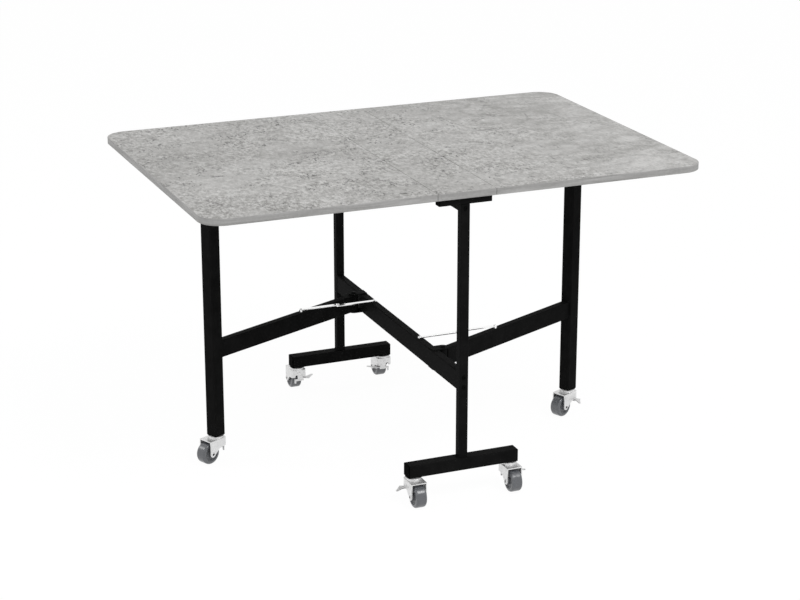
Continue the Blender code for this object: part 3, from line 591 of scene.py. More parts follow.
def loft(rings):
    """A solid through rings with the same number of points, closed by the first and the last."""
    bm = bmesh.new()
    loops = [[bm.verts.new(point) for point in ring] for ring in rings]
    for near, far in zip(loops, loops[1:]):
        for i in range(len(near)):
            bm.faces.new((near[i - 1], near[i], far[i], far[i - 1]))
    bm.faces.new(loops[0])
    bm.faces.new(loops[-1])
    return finished(bm)


def stepped(sections):
    """A loft along Z through outlines, each with its height."""
    return loft([[(x, y, height) for x, y in outline] for outline, height in sections])


def moved(mesh, *matrices):
    copy = mesh.copy()
    for matrix in matrices:
        copy.transform(matrix)
    return copy


def joined(meshes):
    bm = bmesh.new()
    for mesh in meshes:
        bm.from_mesh(mesh)
    return finished(bm)


def placed(name, data):
    """A new object in the scene."""
    item = bpy.data.objects.new(name, data)
    bpy.context.scene.collection.objects.link(item)
    return item


def boolean(body, tool, operation):
    """Two meshes combined, without the slivers and split faces that this leaves."""
    base = placed("body", body)
    other = placed("tool", tool)
    modifier = base.modifiers.new("boolean", "BOOLEAN")
    modifier.operation = operation
    modifier.object = other
    modifier.solver = "EXACT"
    result = bpy.data.meshes.new_from_object(base.evaluated_get(bpy.context.evaluated_depsgraph_get()))
    for item in (base, other):
        bpy.data.objects.remove(item)
    bm = bmesh.new()
    bm.from_mesh(result)
    bmesh.ops.dissolve_limit(bm, angle_limit=FLAT_ANGLE, verts=bm.verts, edges=bm.edges)
    bmesh.ops.dissolve_degenerate(bm, dist=SLIVER, edges=bm.edges)
    return finished(bm)


def cut(body, tools):
    return boolean(body, joined(tools), "DIFFERENCE")


def union(body, tools):
    for tool in tools:
        body = boolean(body, tool, "UNION")
    return body


def cross_slotted(head, slot, floor, top):
    """A screw head with a cross slot, given by its length, width and corner radius, between two heights."""
    bar = prism(rounded_rectangle(*slot, SLOT_STEPS), floor, top)
    return cut(head, [union(bar, [moved(bar, turn(math.pi / 2))])])


def rivet(diameter, head_diameter, head_height, low, high):
    """A pin between two heights along Z, with a round head beyond each."""
    tail = reversed(dome(head_diameter, -head_height, low))
    head = dome(head_diameter, head_height, high)
    return lathe([*tail, (diameter / 2, low), (diameter / 2, high), *head])


# Pieces

def piece(name, mesh, material, body, nodes=(), matrix=HERE, bevel=0.0):
    """A piece of the object on its body, in place of the nodes that it stands for."""
    mesh = moved(mesh, matrix)
    mesh.name = name
    mesh.materials.clear()
    mesh.materials.append(material)
    mesh.shade_smooth()
    mesh.set_sharp_from_angle(angle=SHARP_ANGLE)
    item = placed(name, mesh)
    if bevel:
        soft = item.modifiers.new("eased_edges", "BEVEL")
        soft.width = bevel
        soft.segments = BEVEL_STEPS
        soft.limit_method = "ANGLE"
        soft.angle_limit = SHARP_ANGLE
    item.modifiers.new("flat_faces_flat", "WEIGHTED_NORMAL").keep_sharp = True
    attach(item, body)
    if nodes:
        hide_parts(*nodes)


def use_cad(node, material):
    """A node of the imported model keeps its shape, and takes a finish."""
    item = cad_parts[node]
    item.data.materials.clear()
    item.data.materials.append(material)


# Table top

def leaf_outline(inset):
    """The right leaf's edge at an inset, from its front to its rear end."""
    x = TABLE_LENGTH / 2 - inset
    y = TABLE_WIDTH / 2 - inset
    radius = TOP_CORNER_RADIUS - inset
    front = arc((x - radius, -y + radius), radius, -90, 0, TOP_CORNER_STEPS)
    rear = arc((x - radius, y - radius), radius, 0, 90, TOP_CORNER_STEPS)
    return [Vector((LEAF_START, -y)), *front, *rear, Vector((LEAF_START, y))]


def strip_end(inset):
    """The strip's rear edge at an inset."""
    y = TABLE_WIDTH / 2 - inset
    return [Vector((STRIP_WIDTH / 2, y)), Vector((-STRIP_WIDTH / 2, y))]


def edging(line):
    """A band along a board's edge with round outer corners. line gives the edge at any inset."""
    levels = [(EDGE_ROUND * (1 - math.sin(a)), EDGE_ROUND * (1 - math.cos(a)))
              for a in quarter_turn(EDGE_STEPS)]
    rows = [(inset, UNDERSIDE + rise) for inset, rise in levels]
    rows += [(inset, TABLE_HEIGHT - rise) for inset, rise in reversed(levels)]
    lines = [[(*point, height) for point in line(min(inset, EDGING_THICKNESS))] for inset, height in rows]
    return loft([list(ring) for ring in zip(*lines)])


def make_top():
    inset = EDGING_THICKNESS + EDGING_LINE
    outline = rounded_rectangle(STRIP_WIDTH, TABLE_WIDTH - 2 * inset, BOARD_CORNER, steps=1)
    strip = prism(outline, UNDERSIDE, TABLE_HEIGHT)
    piece("strip_board", strip, LAMINATE, "frame", ["centre_strip"], bevel=EASED_EDGE)
    band = edging(strip_end)
    piece("strip_rear_edging", band, EDGE_BAND_WITH_PAINTED_SHADE, "frame")
    piece("strip_front_edging", band, EDGE_BAND_WITH_PAINTED_SHADE, "frame", matrix=HALF_TURN)
    leaf = prism(leaf_outline(inset), UNDERSIDE, TABLE_HEIGHT)
    leaf_band = edging(leaf_outline)
    for side, matrix in SIDES.items():
        body = f"{side}_leaf"
        piece(f"{side}_leaf_board", leaf, LAMINATE, body, [f"{side}_leaf"], matrix, EASED_EDGE)
        piece(f"{side}_leaf_edging", leaf_band, EDGE_BAND_WITH_PAINTED_SHADE, body, matrix=matrix)


# Leaf hinges

def make_hinge_screws():
    """Three sunk screws on the underside of a wing towards +X from its hinge pin."""
    crown = dome(HINGE_SCREW_DIAMETER, HINGE_SCREW_CROWN, HINGE_SCREW_RIM, flat=0.2, steps=3)
    head = cross_slotted(lathe([(0, 0), *crown]), HINGE_SCREW_SLOT, HINGE_SCREW_SLOT_FLOOR, OVERCUT)
    head = moved(head, UPSIDE_DOWN, shift(z=KNUCKLE_DIAMETER / 2 - HINGE_SHEET))
    middle = (KNUCKLE_DIAMETER + HINGE_WING) / 2
    spots = ((middle + OUTER_SCREW_OFFSET, -HINGE_SCREW_PITCH), (middle + MIDDLE_SCREW_OFFSET, 0.0),
             (middle + OUTER_SCREW_OFFSET, HINGE_SCREW_PITCH))
    return joined([moved(head, shift(x, y)) for x, y in spots])


def make_leaf_hinges():
    screws = make_hinge_screws()
    for side, matrix in SIDES.items():
        for end, y in (("front", -HINGE_Y), ("rear", HINGE_Y)):
            name = f"{side}_{end}"
            to_leaf = shift(HINGE_X if side == "right" else -HINGE_X, y, HINGE_Z) @ matrix
            piece(f"{name}_leaf_wing_screws", screws, DULL_ZINC, f"{side}_leaf", matrix=to_leaf)
            piece(f"{name}_strip_wing_screws", screws, DULL_ZINC, "frame", matrix=to_leaf @ HALF_TURN)
            for wing in ("leaf", "strip"):
                use_cad(f"{name}_{wing}_wing", ZINC)


# Centre frame

def square_tube(width, depth, start, end):
    return prism(tube_outline(width, depth), start, end, [tube_outline(width, depth, TUBE_WALL)])


def end_cap(width, depth):
    """A moulded cap for a tube, along Z above zero, with a dished face."""
    sections = ((0.0, CAP_LINE), (0.0, CAP_THICKNESS - CAP_CHAMFER), (CAP_EASE, CAP_THICKNESS - CAP_EASE),
                (CAP_CHAMFER, CAP_THICKNESS), (CAP_LIP, CAP_THICKNESS),
                (CAP_DISH, CAP_THICKNESS - CAP_DISH_DEPTH))
    return stepped([(tube_outline(width, depth, inset), height) for inset, height in sections])


def make_capped_tube(name, height, depth, length, at):
    """A tube along X with a cap at each end, which lie within its length."""
    half = length / 2 - CAP_THICKNESS
    tube = moved(square_tube(height, depth, -half, half), ALONG_X)
    piece(f"{name}_tube", tube, BLACK_STEEL, "frame", [name], at)
    cap = moved(end_cap(height, depth), ALONG_X, shift(x=half))
    piece(f"{name}_right_cap", cap, BLACK_PLASTIC, "frame", matrix=at)
    piece(f"{name}_left_cap", cap, BLACK_PLASTIC, "frame", matrix=at @ HALF_TURN)


def weld(outline, height):
    """A thin weld bead round a tube's outline, above a height along Z."""
    rings = []
    for i in range(BEAD_STEPS + 1):
        a = math.pi * i / BEAD_STEPS
        grown = [point + point.normalized() * WELD_SWELL * math.sin(a) for point in outline]
        rings.append((grown, height + WELD_BEAD * (1 - math.cos(a)) / 2))
    return stepped(rings)


def button_bolt():
    """A button-head bolt with a hexagon socket, its head above zero along Z."""
    head = lathe([(0, 0), *dome(BOLT_HEAD_DIAMETER, BOLT_HEAD_HEIGHT, flat=0.4, steps=6)])
    return cut(head, [prism(circle(BOLT_SOCKET, HEXAGON), BOLT_SOCKET_FLOOR, BOLT_HEAD_HEIGHT + OVERCUT)])


def pan_screw():
    """A cross-slotted screw, its head above zero along Z."""
    head = lathe([(0, 0), *dome(SCREW_HEAD_DIAMETER, SCREW_HEAD_HEIGHT, flat=0.35, steps=6)])
    return cross_slotted(head, SCREW_SLOT, SCREW_SLOT_FLOOR, SCREW_HEAD_HEIGHT * 2)


def make_frame():
    post = square_tube(POST_TUBE, POST_TUBE, FOOT_TOP + CLEARANCE, HEAD_BOTTOM - CLEARANCE)
    bead = weld(tube_outline(POST_TUBE, POST_TUBE), FOOT_TOP)
    bolt = moved(button_bolt(), CROSSWISE)
    screw = moved(pan_screw(), UPSIDE_DOWN)
    bolt_face = POST_Y + POST_TUBE / 2 + CLEARANCE / 2
    bolt_heights = (LOWER_RAIL_MIDDLE - BOLT_PITCH / 2, LOWER_RAIL_MIDDLE + BOLT_PITCH / 2,
                    TOP_RAIL_BOTTOM + TOP_BOLT_RISE)
    for end, y, facing in (("front", -POST_Y, HERE), ("rear", POST_Y, HALF_TURN)):
        piece(f"{end}_post_tube", post, BLACK_STEEL, "frame", [f"{end}_post"], shift(y=y))
        on_castors = shift(0, y, CASTOR_HEIGHT + FOOT_TUBE / 2)
        make_capped_tube(f"{end}_foot", FOOT_TUBE, FOOT_TUBE, FOOT_LENGTH, on_castors)
        on_post = shift(0, y, HEAD_BOTTOM + HEAD_HEIGHT / 2)
        make_capped_tube(f"{end}_head", HEAD_HEIGHT, POST_TUBE, HEAD_LENGTH, on_post)
        piece(f"{end}_foot_weld", bead, BLACK_STEEL, "frame", matrix=shift(y=y))
        for i, height in enumerate(bolt_heights):
            piece(f"{end}_bolt_{i + 1}", bolt, BLACK_OXIDE, "frame",
                  matrix=facing @ shift(0, -bolt_face, height))
        for side, x in (("left", -SCREW_SPACING / 2), ("right", SCREW_SPACING / 2)):
            piece(f"{end}_{side}_top_screw", screw, DULL_ZINC, "frame",
                  matrix=shift(x, y, HEAD_BOTTOM - CLEARANCE / 2))
    rails = (("top_rail", TOP_RAIL_HEIGHT, TOP_RAIL_BOTTOM), ("lower_rail", RAIL_HEIGHT, LOWER_RAIL_BOTTOM))
    for name, height, bottom in rails:
        rail = moved(square_tube(RAIL_WIDTH, height, -RAIL_LENGTH / 2, RAIL_LENGTH / 2), ALONG_Y)
        piece(f"{name}_tube", rail, BLACK_STEEL, "frame", [name], shift(z=bottom + height / 2))


# Gate legs and stays

def gate_place(matrix):
    """The hinge of a side's gate, with +X along its arm."""
    return matrix @ shift(GATE_PIVOT_X, -GATE_PIVOT_Y) @ turn(GATE_TURN)


def stay_stud(wall, layer):
    """A shouldered stud on a wall's height, headed over the link in its layer."""
    low = layer - CLEARANCE
    high = layer + STAY_THICKNESS + CLEARANCE
    foot = wall - STUD_SINK
    pin = STAY_PIN_DIAMETER / 2
    shoulder = STAY_SHOULDER_DIAMETER / 2
    return lathe([(0, foot), (shoulder, foot), (shoulder, low), (pin, low), (pin, high),
                  *dome(STAY_HEAD_DIAMETER, STAY_HEAD_HEIGHT, high)])


def stay_link(layer, button):
    """A flat link along +X from its stud hole, with half of the middle rivet at its far end."""
    radius = STAY_WIDTH / 2
    outline = arc((STAY_LINK, 0), radius, -90, 90, ROUND_STEPS // 2)
    outline += arc((0, 0), radius, 90, 270, ROUND_STEPS // 2)
    bar = prism(outline, layer, layer + STAY_THICKNESS, [bore(STAY_PIN_DIAMETER)])
    return joined([bar, moved(button, shift(x=STAY_LINK))])


def make_gate_hardware(side, matrix):
    """The ears, the pin and the stay's stud that stay with the rail."""
    end = arc((GATE_PIVOT_X, 0), EAR_WIDTH / 2, -90, 90, ROUND_STEPS // 2)
    back = -RAIL_WIDTH / 2 + TUBE_CORNER
    outline = [Vector((back, -EAR_WIDTH / 2)), *end, Vector((back, EAR_WIDTH / 2))]
    hole = bore(GATE_PIN_DIAMETER, (GATE_PIVOT_X, 0))
    top = LOWER_RAIL_TOP - WELD
    low = LOWER_RAIL_BOTTOM + WELD - EAR_THICKNESS
    at = matrix @ shift(y=-GATE_PIVOT_Y)
    for name, z in (("upper", top), ("lower", low)):
        ear = prism(outline, z, z + EAR_THICKNESS, [hole])
        piece(f"{side}_gate_{name}_ear", ear, BLACK_STEEL, "frame", matrix=at,
              bevel=PRESSED_EDGE)
    pin = rivet(GATE_PIN_DIAMETER, GATE_PIN_HEAD_DIAMETER, GATE_PIN_HEAD_HEIGHT,
                low - CLEARANCE, top + EAR_THICKNESS + CLEARANCE)
    piece(f"{side}_gate_hinge_pin", pin, BLACK_OXIDE, "frame", [f"{side}_gate_pin"],
          at @ shift(x=GATE_PIVOT_X))
    piece(f"{side}_stay_rail_stud", stay_stud(LOWER_RAIL_TOP, STAY_LOW), BRIGHT_ZINC, "frame",
          matrix=matrix @ shift(y=-STAY_RAIL_Y))


def make_gate_arm(side, matrix):
    """The arm with its hinge barrel, its weld to the leg and the stay's stud."""
    body = f"{side}_gate"
    at = gate_place(matrix)
    low = LOWER_RAIL_BOTTOM + WELD + CLEARANCE
    high = LOWER_RAIL_TOP - WELD - CLEARANCE
    outer = BARREL_DIAMETER / 2
    eye = GATE_PIN_DIAMETER / 2 + CLEARANCE
    barrel = lathe([(eye, low), (outer - BARREL_RIM, low), (outer, low + BARREL_RIM),
                    (outer, high - BARREL_RIM), (outer - BARREL_RIM, high), (eye, high)], DISC_STEPS)
    piece(f"{side}_gate_barrel", barrel, BLACK_STEEL, body, matrix=at)
    arm_end = GATE_REACH - GATE_TUBE / 2 - CLEARANCE
    arm = moved(square_tube(ARM_HEIGHT, ARM_WIDTH, ARM_START, arm_end), ALONG_X)
    piece(f"{side}_gate_arm_tube", arm, BLACK_STEEL, body, [f"{side}_gate_arm"],
          at @ shift(z=LOWER_RAIL_MIDDLE))
    bead = moved(weld(tube_outline(ARM_HEIGHT, ARM_WIDTH), -WELD_BEAD), ALONG_X)
    piece(f"{side}_gate_weld", bead, BLACK_STEEL, body,
          matrix=at @ shift(arm_end + CLEARANCE, 0, LOWER_RAIL_MIDDLE))
    piece(f"{side}_stay_arm_stud", stay_stud(ARM_TOP, STAY_HIGH), BRIGHT_ZINC, body,
          matrix=at @ shift(x=STAY_ARM_REACH))


def make_gate_leg(side, matrix):
    """The leg with its pad under the leaf and its socket over the castor."""
    body = f"{side}_gate"
    at = gate_place(matrix) @ shift(x=GATE_REACH)
    low = CASTOR_HEIGHT + SOCKET_FLANGE
    high = SEAT - PAD_THICKNESS
    leg = square_tube(GATE_TUBE, GATE_TUBE, low, high)
    piece(f"{side}_gate_leg_tube", leg, BLACK_STEEL, body, [f"{side}_gate_leg"], at)
    pad = moved(end_cap(GATE_TUBE, GATE_TUBE), shift(z=high))
    piece(f"{side}_gate_leg_pad", pad, BLACK_PLASTIC, body, [f"{side}_gate_pad"], at)
    outer = tube_outline(GATE_TUBE, GATE_TUBE)
    eased = tube_outline(GATE_TUBE, GATE_TUBE, SOCKET_EASE)
    socket = stepped([(eased, CASTOR_HEIGHT), (outer, CASTOR_HEIGHT + SOCKET_EASE), (outer, low - CAP_LINE)])
    piece(f"{side}_gate_leg_socket", socket, BLACK_PLASTIC, body,
          [f"{side}_gate_socket"], at)


def make_stay(side, matrix):
    """The two links, each with its half of the middle rivet."""
    radius = STAY_HEAD_DIAMETER / 2
    tail_end = STAY_LOW + STAY_THICKNESS / 2
    tail_dome = reversed(dome(STAY_HEAD_DIAMETER, -STAY_TAIL_HEIGHT, STAY_LOW))
    tail = lathe([*tail_dome, (radius, tail_end), (0, tail_end)])
    head_end = STAY_HIGH + STAY_THICKNESS / 2
    head_dome = dome(STAY_HEAD_DIAMETER, STAY_HEAD_HEIGHT, STAY_HIGH + STAY_THICKNESS)
    head = lathe([(0, head_end), (radius, head_end), *head_dome])
    at_rail = matrix @ shift(y=-STAY_RAIL_Y)
    at_arm = matrix @ shift(STAY_SPAN, -STAY_RAIL_Y) @ HALF_TURN
    piece(f"{side}_stay_rail_bar", stay_link(STAY_LOW, tail), BRIGHT_ZINC, f"{side}_rail_link",
          [f"{side}_stay_rail_link"], at_rail, EASED_EDGE)
    piece(f"{side}_stay_gate_bar", stay_link(STAY_HIGH, head), BRIGHT_ZINC, f"{side}_gate_link",
          [f"{side}_stay_gate_link"], at_arm, EASED_EDGE)


# Castors, each with its swivel on Z and its wheel towards +X

def fork_plan(inset, tail):
    """The fork seen from above at an inset, as far as its tail."""
    half = FORK_WIDTH / 2 - inset
    radius = FORK_CORNER - inset
    front = -FORK_LEAD + inset + radius
    left = arc((front, half - radius), radius, 90, 180, 2 * CORNER_STEPS)
    right = arc((front, -half + radius), radius, 180, 270, 2 * CORNER_STEPS)
    return [Vector((tail, half)), *left, *right, Vector((tail, -half))]


def fork_side():
    """The fork seen from the side: straight skirt, knee, and a round boss at the axle."""
    skirt = FORK_TOP - FORK_SKIRT
    past = -FORK_LEAD - OVERCUT
    top = FORK_TOP + OVERCUT
    boss = arc((TRAIL, WHEEL_RADIUS), FORK_BOSS_RADIUS, FORK_BOSS_START_DEGREES, 360, ROUND_STEPS)
    return [Vector((past, top)), Vector((past, skirt)), Vector((-FORK_LEAD, skirt)),
            Vector((FORK_KNEE, skirt - FORK_KNEE_DROP)), *boss, Vector((TRAIL + FORK_BOSS_RADIUS, top))]


def fork_window():
    """A cutter for the opening under the leading wall, where the brake lever hangs."""
    half = FORK_WIDTH / 2 - FORK_CORNER
    top = FORK_TOP - FORK_WALL
    low = FORK_TOP - FORK_SKIRT - OVERCUT
    corner = FORK_WINDOW_CORNER
    right = [Vector((half, low)), *arc((half - corner, top - corner), corner, 0, 90, CORNER_STEPS)]
    left = [Vector((-y, z)) for y, z in reversed(right)]
    return moved(prism(right + left, -FORK_LEAD - OVERCUT, -FORK_LEAD + FORK_CORNER), FACING_X)


def make_fork_mesh():
    """The pressed fork, without its race, axle and rivet."""
    low = WHEEL_RADIUS - FORK_BOSS_RADIUS - OVERCUT
    tail = TRAIL + FORK_BOSS_RADIUS + OVERCUT
    half = FORK_WIDTH / 2
    ceiling = FORK_TOP - FORK_SHEET
    shell = prism(fork_plan(0, tail), low, FORK_TOP)
    shell = cut(shell, [prism(fork_plan(FORK_SHEET, tail + OVERCUT), low - OVERCUT, ceiling)])
    side = moved(prism(fork_side(), -half - OVERCUT, half + OVERCUT), CROSSWISE)
    shell = boolean(shell, side, "INTERSECT")
    hole = prism(bore(KINGPIN_DIAMETER), ceiling - OVERCUT, FORK_TOP + OVERCUT)
    return cut(shell, [hole, fork_window()])


def make_race_mesh():
    """The ball race that is raised on the fork: a rolled rim above a fillet."""
    eye = KINGPIN_DIAMETER / 2 + CLEARANCE
    race = RACE_DIAMETER / 2
    lip = RACE_HEIGHT / 3
    fillet = [(race + reach, FORK_TOP + rise) for reach, rise in RACE_FILLET]
    rim = [(race - lip + lip * math.cos(a), RACE_TOP - lip + lip * math.sin(a))
           for a in quarter_turn(ROLL_STEPS)]
    return lathe([(eye, FORK_TOP - RACE_SINK), *fillet, *rim, (eye, RACE_TOP)], DISC_STEPS)


def make_mount_mesh():
    """The castor's upper race, rolled over the fork's race, and its kingpin."""
    under = FORK_TOP - FORK_SHEET - CLEARANCE
    low = RACE_TOP + CLEARANCE
    high = CASTOR_HEIGHT - CLEARANCE / 2
    kingpin = KINGPIN_DIAMETER / 2
    disc = MOUNT_DIAMETER / 2
    lip = MOUNT_HEIGHT / 4
    head = reversed(dome(KINGPIN_HEAD_DIAMETER, -KINGPIN_HEAD_HEIGHT, under))
    roll = [(disc - lip + lip * math.cos(a), low + lip - lip * math.sin(a))
            for a in reversed(quarter_turn(ROLL_STEPS))]
    rim = low + (high - low) * MOUNT_RIM_SHARE
    shoulder = [(disc - inset, rim + rise) for inset, rise in MOUNT_SHOULDER]
    return lathe([*head, (kingpin, under), (kingpin, low), *roll, (disc, rim), *shoulder,
                  (disc - MOUNT_TOP_INSET, high), (0, high)], DISC_STEPS)


def make_tyre_mesh():
    """The grey tread: round shoulders, a faint parting line and a lip against the core."""
    face = WHEEL_WIDTH / 2
    rim = WHEEL_RIM_DIAMETER / 2
    lip = [(rim + reach, face - depth) for reach, depth in TYRE_LIP]
    shoulder = arc((WHEEL_RADIUS - TYRE_SHOULDER, face - TYRE_SHOULDER), TYRE_SHOULDER, 90, 0, TYRE_STEPS)
    upper = [*lip, *shoulder, (WHEEL_RADIUS, PARTING_LINE)]
    line = (WHEEL_RADIUS - PARTING_LINE_DEPTH, 0.0)
    return moved(lathe([*upper, line, *mirrored(upper)], WHEEL_STEPS), CROSSWISE)


def make_core_mesh():
    """The wheel's core: hub, dished web and a ring under the tread."""
    eye = AXLE_DIAMETER / 2 + CLEARANCE
    end = FORK_WIDTH / 2 - FORK_SHEET - CLEARANCE
    hub = HUB_DIAMETER / 2
    rim = WHEEL_RIM_DIAMETER / 2 - CORE_GAP
    web = WHEEL_WIDTH / 2 - WHEEL_RECESS
    ring = WHEEL_WIDTH / 2 - CORE_RING_DROP
    upper = [(eye, end), (hub - HUB_EASE, end), (hub, end - HUB_EASE), (hub, web + HUB_FILLET),
             (hub + HUB_FILLET, web), (rim - CORE_RING_FOOT, web + CORE_WEB_RISE), (rim - CORE_RING, ring),
             (rim, ring)]
    return moved(lathe(upper + mirrored(upper), WHEEL_STEPS), CROSSWISE)


def make_axle_meshes():
    """The axle with its two flanged and socketed ends, and the sockets' floors, whose near-black finish is
    painted shade for the holes.
    """
    half = FORK_WIDTH / 2
    top = AXLE_HEAD_HEIGHT
    socket = AXLE_SOCKET_DIAMETER / 2
    flange = dome(AXLE_HEAD_DIAMETER, top, flat=0.78, steps=5)[:-1]
    end = lathe([(socket, 0), *flange, (socket + AXLE_SOCKET_EASE, top), (socket, top - AXLE_SOCKET_EASE)])
    # Each socket's floor is a thin disc that carries the painted shade of the hole.
    floor = lathe([(0, 0), (socket, 0), (socket, AXLE_SOCKET_FLOOR), (0, AXLE_SOCKET_FLOOR)])
    ends, shade_floors = ([moved(shape, shift(z=half)), moved(shape, UPSIDE_DOWN, shift(z=-half))]
                    for shape in (end, floor))
    steel = joined([prism(circle(AXLE_DIAMETER), -half, half), *ends])
    at = shift(TRAIL, 0, WHEEL_RADIUS)
    return moved(steel, CROSSWISE, at), moved(joined(shade_floors), CROSSWISE, at)


def make_lever_mesh(hand):
    """The brake lever: a web, a strip across the fork with a tab, a tongue to one side, and a brake shoe."""
    strip = -LEVER_DROP - LEVER_STRIP
    end = -LEVER_CROSS
    outline = [*arc((0, 0), LEVER_BOSS, 0, 180, ROUND_STEPS), (-LEVER_HEEL, -LEVER_DROP), (end, -LEVER_DROP),
               (end, strip - LEVER_TAB_DROP), (end + LEVER_TAB, strip - LEVER_TAB_DROP),
               (end + LEVER_TAB, strip), (LEVER_NECK, strip), (LEVER_NECK, -LEVER_DROP)]
    web = prism([Vector((hand * y, z)) for y, z in outline], LEVER_X, LEVER_X + LEVER_SHEET,
                [bore(LEVER_RIVET_DIAMETER)])

    inner = TRAIL - WHEEL_RADIUS - LEVER_WHEEL_GAP
    outer = LEVER_X - LEVER_FLARE
    middle = (outer + inner) / 2 + LEVER_SWEEP
    tip = arc((middle, LEVER_LENGTH - LEVER_TIP_RADIUS), LEVER_TIP_RADIUS, 0, 180, ROUND_STEPS)
    outline = [(LEVER_X, -LEVER_HEEL / 2), (inner, -LEVER_HEEL / 2), (inner, LEVER_SHOULDER), *tip,
               (outer, LEVER_SHOULDER), (LEVER_X, LEVER_NECK)]
    tongue = prism([Vector((x, hand * y)) for x, y in outline], -LEVER_DROP, -LEVER_DROP + LEVER_SHEET)

    shoe_rise = LEVER_Z - SHOE_DROP - WHEEL_RADIUS
    shoe_end = TRAIL - math.sqrt((WHEEL_RADIUS + SHOE_WHEEL_GAP) ** 2 - shoe_rise ** 2)
    start = LEVER_X + LEVER_SHEET / 2
    outline = [(start, SHOE_INNER), (shoe_end, SHOE_INNER), (shoe_end, SHOE_OUTER), (start, SHOE_OUTER)]
    shoe = prism([Vector((x, hand * y)) for x, y in outline], -SHOE_DROP, -SHOE_DROP + LEVER_SHEET)
    return union(moved(web, FACING_X), [tongue, shoe])


def castor_places():
    """Each castor's name, side, carrying body, place and heading."""
    for end, y, heading in (("front", -POST_Y, -math.pi / 2), ("rear", POST_Y, math.pi / 2)):
        for side, x in (("left", -CASTOR_SPACING / 2), ("right", CASTOR_SPACING / 2)):
            yield f"{end}_{side}", side, "frame", shift(x, y), heading
    for side, matrix in SIDES.items():
        under_leg = gate_place(matrix) @ shift(x=GATE_REACH)
        yield f"{side}_gate", side, f"{side}_gate", under_leg, math.pi if side == "right" else 0.0


def make_castors():
    fork = make_fork_mesh()
    race = make_race_mesh()
    mount = make_mount_mesh()
    tyre = make_tyre_mesh()
    core = make_core_mesh()
    axle, socket_shade_floors = make_axle_meshes()
    levers = {"left": make_lever_mesh(-1), "right": make_lever_mesh(1)}
    lever_rivet = rivet(LEVER_RIVET_DIAMETER, LEVER_RIVET_HEAD_DIAMETER, LEVER_RIVET_HEAD_HEIGHT,
                        -FORK_LEAD - LEVER_RIVET_GAP, LEVER_X + LEVER_SHEET + CLEARANCE)
    lever_rivet = moved(lever_rivet, ALONG_X, shift(z=LEVER_Z))
    for name, side, carrier, at, heading in castor_places():
        on_fork = f"{name}_fork"
        on_wheel = f"{name}_wheel"
        swivel = at @ turn(heading)
        axis = swivel @ shift(TRAIL, 0, WHEEL_RADIUS)
        piece(f"{name}_upper_race", mount, ZINC, carrier, [f"{name}_castor_mount"], at)
        piece(f"{name}_fork_pressing", fork, ZINC, on_fork, [f"{name}_castor_fork"], swivel,
              PRESSED_EDGE)
        piece(f"{name}_fork_race", race, ZINC, on_fork, matrix=swivel)
        piece(f"{name}_axle", axle, ZINC, on_fork, matrix=swivel)
        # Painted shade: dark floors in the axle sockets stand for the shade in the holes.
        piece(f"{name}_axle_socket_shade", socket_shade_floors, PAINTED_SOCKET_SHADE, on_fork, matrix=swivel)
        piece(f"{name}_lever_rivet", lever_rivet, ZINC, on_fork, matrix=swivel)
        piece(f"{name}_tyre", tyre, TYRE_GREY, on_wheel, [f"{name}_castor_wheel"], axis)
        piece(f"{name}_wheel_core", core, HUB_GREY, on_wheel, matrix=axis)
        piece(f"{name}_lever_pressing", levers[side], DULL_ZINC, f"{name}_lever",
              [f"{name}_brake_lever"], swivel @ shift(z=LEVER_Z), PRESSED_EDGE)


make_top()
make_leaf_hinges()
make_frame()
for side_name, side_matrix in SIDES.items():
    make_gate_hardware(side_name, side_matrix)
    make_gate_arm(side_name, side_matrix)
    make_gate_leg(side_name, side_matrix)
    make_stay(side_name, side_matrix)
make_castors()


# Stage

def background_factor(tree):
    """1 for rays that see the background: camera, glossy and transmission rays."""
    path = tree.nodes.new("ShaderNodeLightPath")
    value = path.outputs["Is Camera Ray"]
    for name in ("Is Glossy Ray", "Is Transmission Ray"):
        node = tree.nodes.new("ShaderNodeMath")
        node.operation = "MAXIMUM"
        tree.links.new(value, node.inputs[0])
        tree.links.new(path.outputs[name], node.inputs[1])
        value = node.outputs["Value"]
    return value


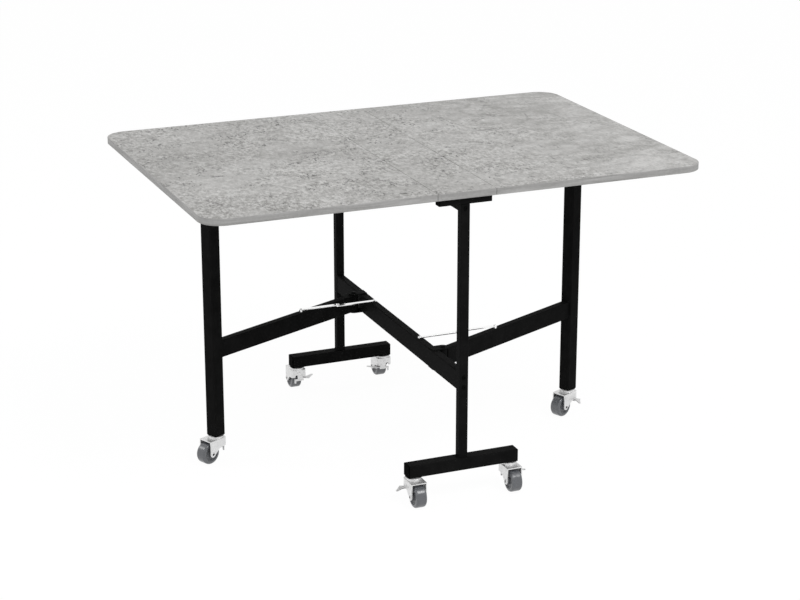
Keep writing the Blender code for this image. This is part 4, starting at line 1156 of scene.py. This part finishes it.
def make_floor():
    """A floor that is white where it is fully lit, and keeps a soft shadow."""
    corners = ((-1, -1), (1, -1), (1, 1), (-1, 1))
    mesh = prism([Vector((x * FLOOR_REACH, y * FLOOR_REACH)) for x, y in corners], -FLOOR_THICKNESS, 0.0)
    floor = placed("floor", mesh)
    material = bpy.data.materials.new("pale_floor")
    material.use_nodes = True
    tree = material.node_tree
    tree.nodes.clear()
    lit = tree.nodes.new("ShaderNodeBsdfDiffuse")
    lit.inputs["Color"].default_value = FLOOR_COLOUR
    white = tree.nodes.new("ShaderNodeEmission")
    white.inputs["Strength"].default_value = FLOOR_WHITE
    share = tree.nodes.new("ShaderNodeMath")
    share.operation = "MULTIPLY"
    share.inputs[1].default_value = FLOOR_WHITE_SHARE
    tree.links.new(background_factor(tree), share.inputs[0])
    mix = tree.nodes.new("ShaderNodeMixShader")
    output = tree.nodes.new("ShaderNodeOutputMaterial")
    tree.links.new(share.outputs["Value"], mix.inputs["Fac"])
    tree.links.new(lit.outputs["BSDF"], mix.inputs[1])
    tree.links.new(white.outputs["Emission"], mix.inputs[2])
    tree.links.new(mix.outputs["Shader"], output.inputs["Surface"])
    mesh.materials.append(material)


def make_world():
    """A white background, dimmer as a light than as it is seen."""
    world = bpy.data.worlds.new("studio")
    bpy.context.scene.world = world
    world.use_nodes = True
    tree = world.node_tree
    tree.nodes.clear()
    strength = tree.nodes.new("ShaderNodeMapRange")
    strength.inputs["To Min"].default_value = WORLD_LIGHT
    strength.inputs["To Max"].default_value = 1.0
    tree.links.new(background_factor(tree), strength.inputs["Value"])
    background = tree.nodes.new("ShaderNodeBackground")
    background.inputs["Color"].default_value = (1.0, 1.0, 1.0, 1.0)
    output = tree.nodes.new("ShaderNodeOutputWorld")
    tree.links.new(strength.outputs["Result"], background.inputs["Strength"])
    tree.links.new(background.outputs["Background"], output.inputs["Surface"])


def make_lamp(name, place, target, size, power):
    lamp = bpy.data.lights.new(name, "AREA")
    lamp.shape = "DISK"
    lamp.size = size
    lamp.energy = power
    item = placed(name, lamp)
    item.location = place
    item.rotation_euler = (Vector(target) - Vector(place)).to_track_quat("-Z", "Y").to_euler()


def make_camera():
    """The photograph's view, from its focal length in pixels."""
    camera = bpy.data.cameras.new("camera")
    camera.sensor_fit = "HORIZONTAL"
    camera.sensor_width = SENSOR_WIDTH
    camera.lens = FOCAL_PIXELS / IMAGE_WIDTH * SENSOR_WIDTH
    camera.clip_end = VIEW_DISTANCE
    item = placed("camera", camera)
    item.location = CAMERA_PLACE
    item.rotation_euler = (math.pi / 2 - CAMERA_PITCH, 0.0, CAMERA_HEADING)
    bpy.context.scene.camera = item


make_floor()
make_world()
for lamp_name, lamp_setting in LAMPS.items():
    make_lamp(lamp_name, *lamp_setting)
make_camera()
bpy.context.scene.view_settings.view_transform = "Standard"
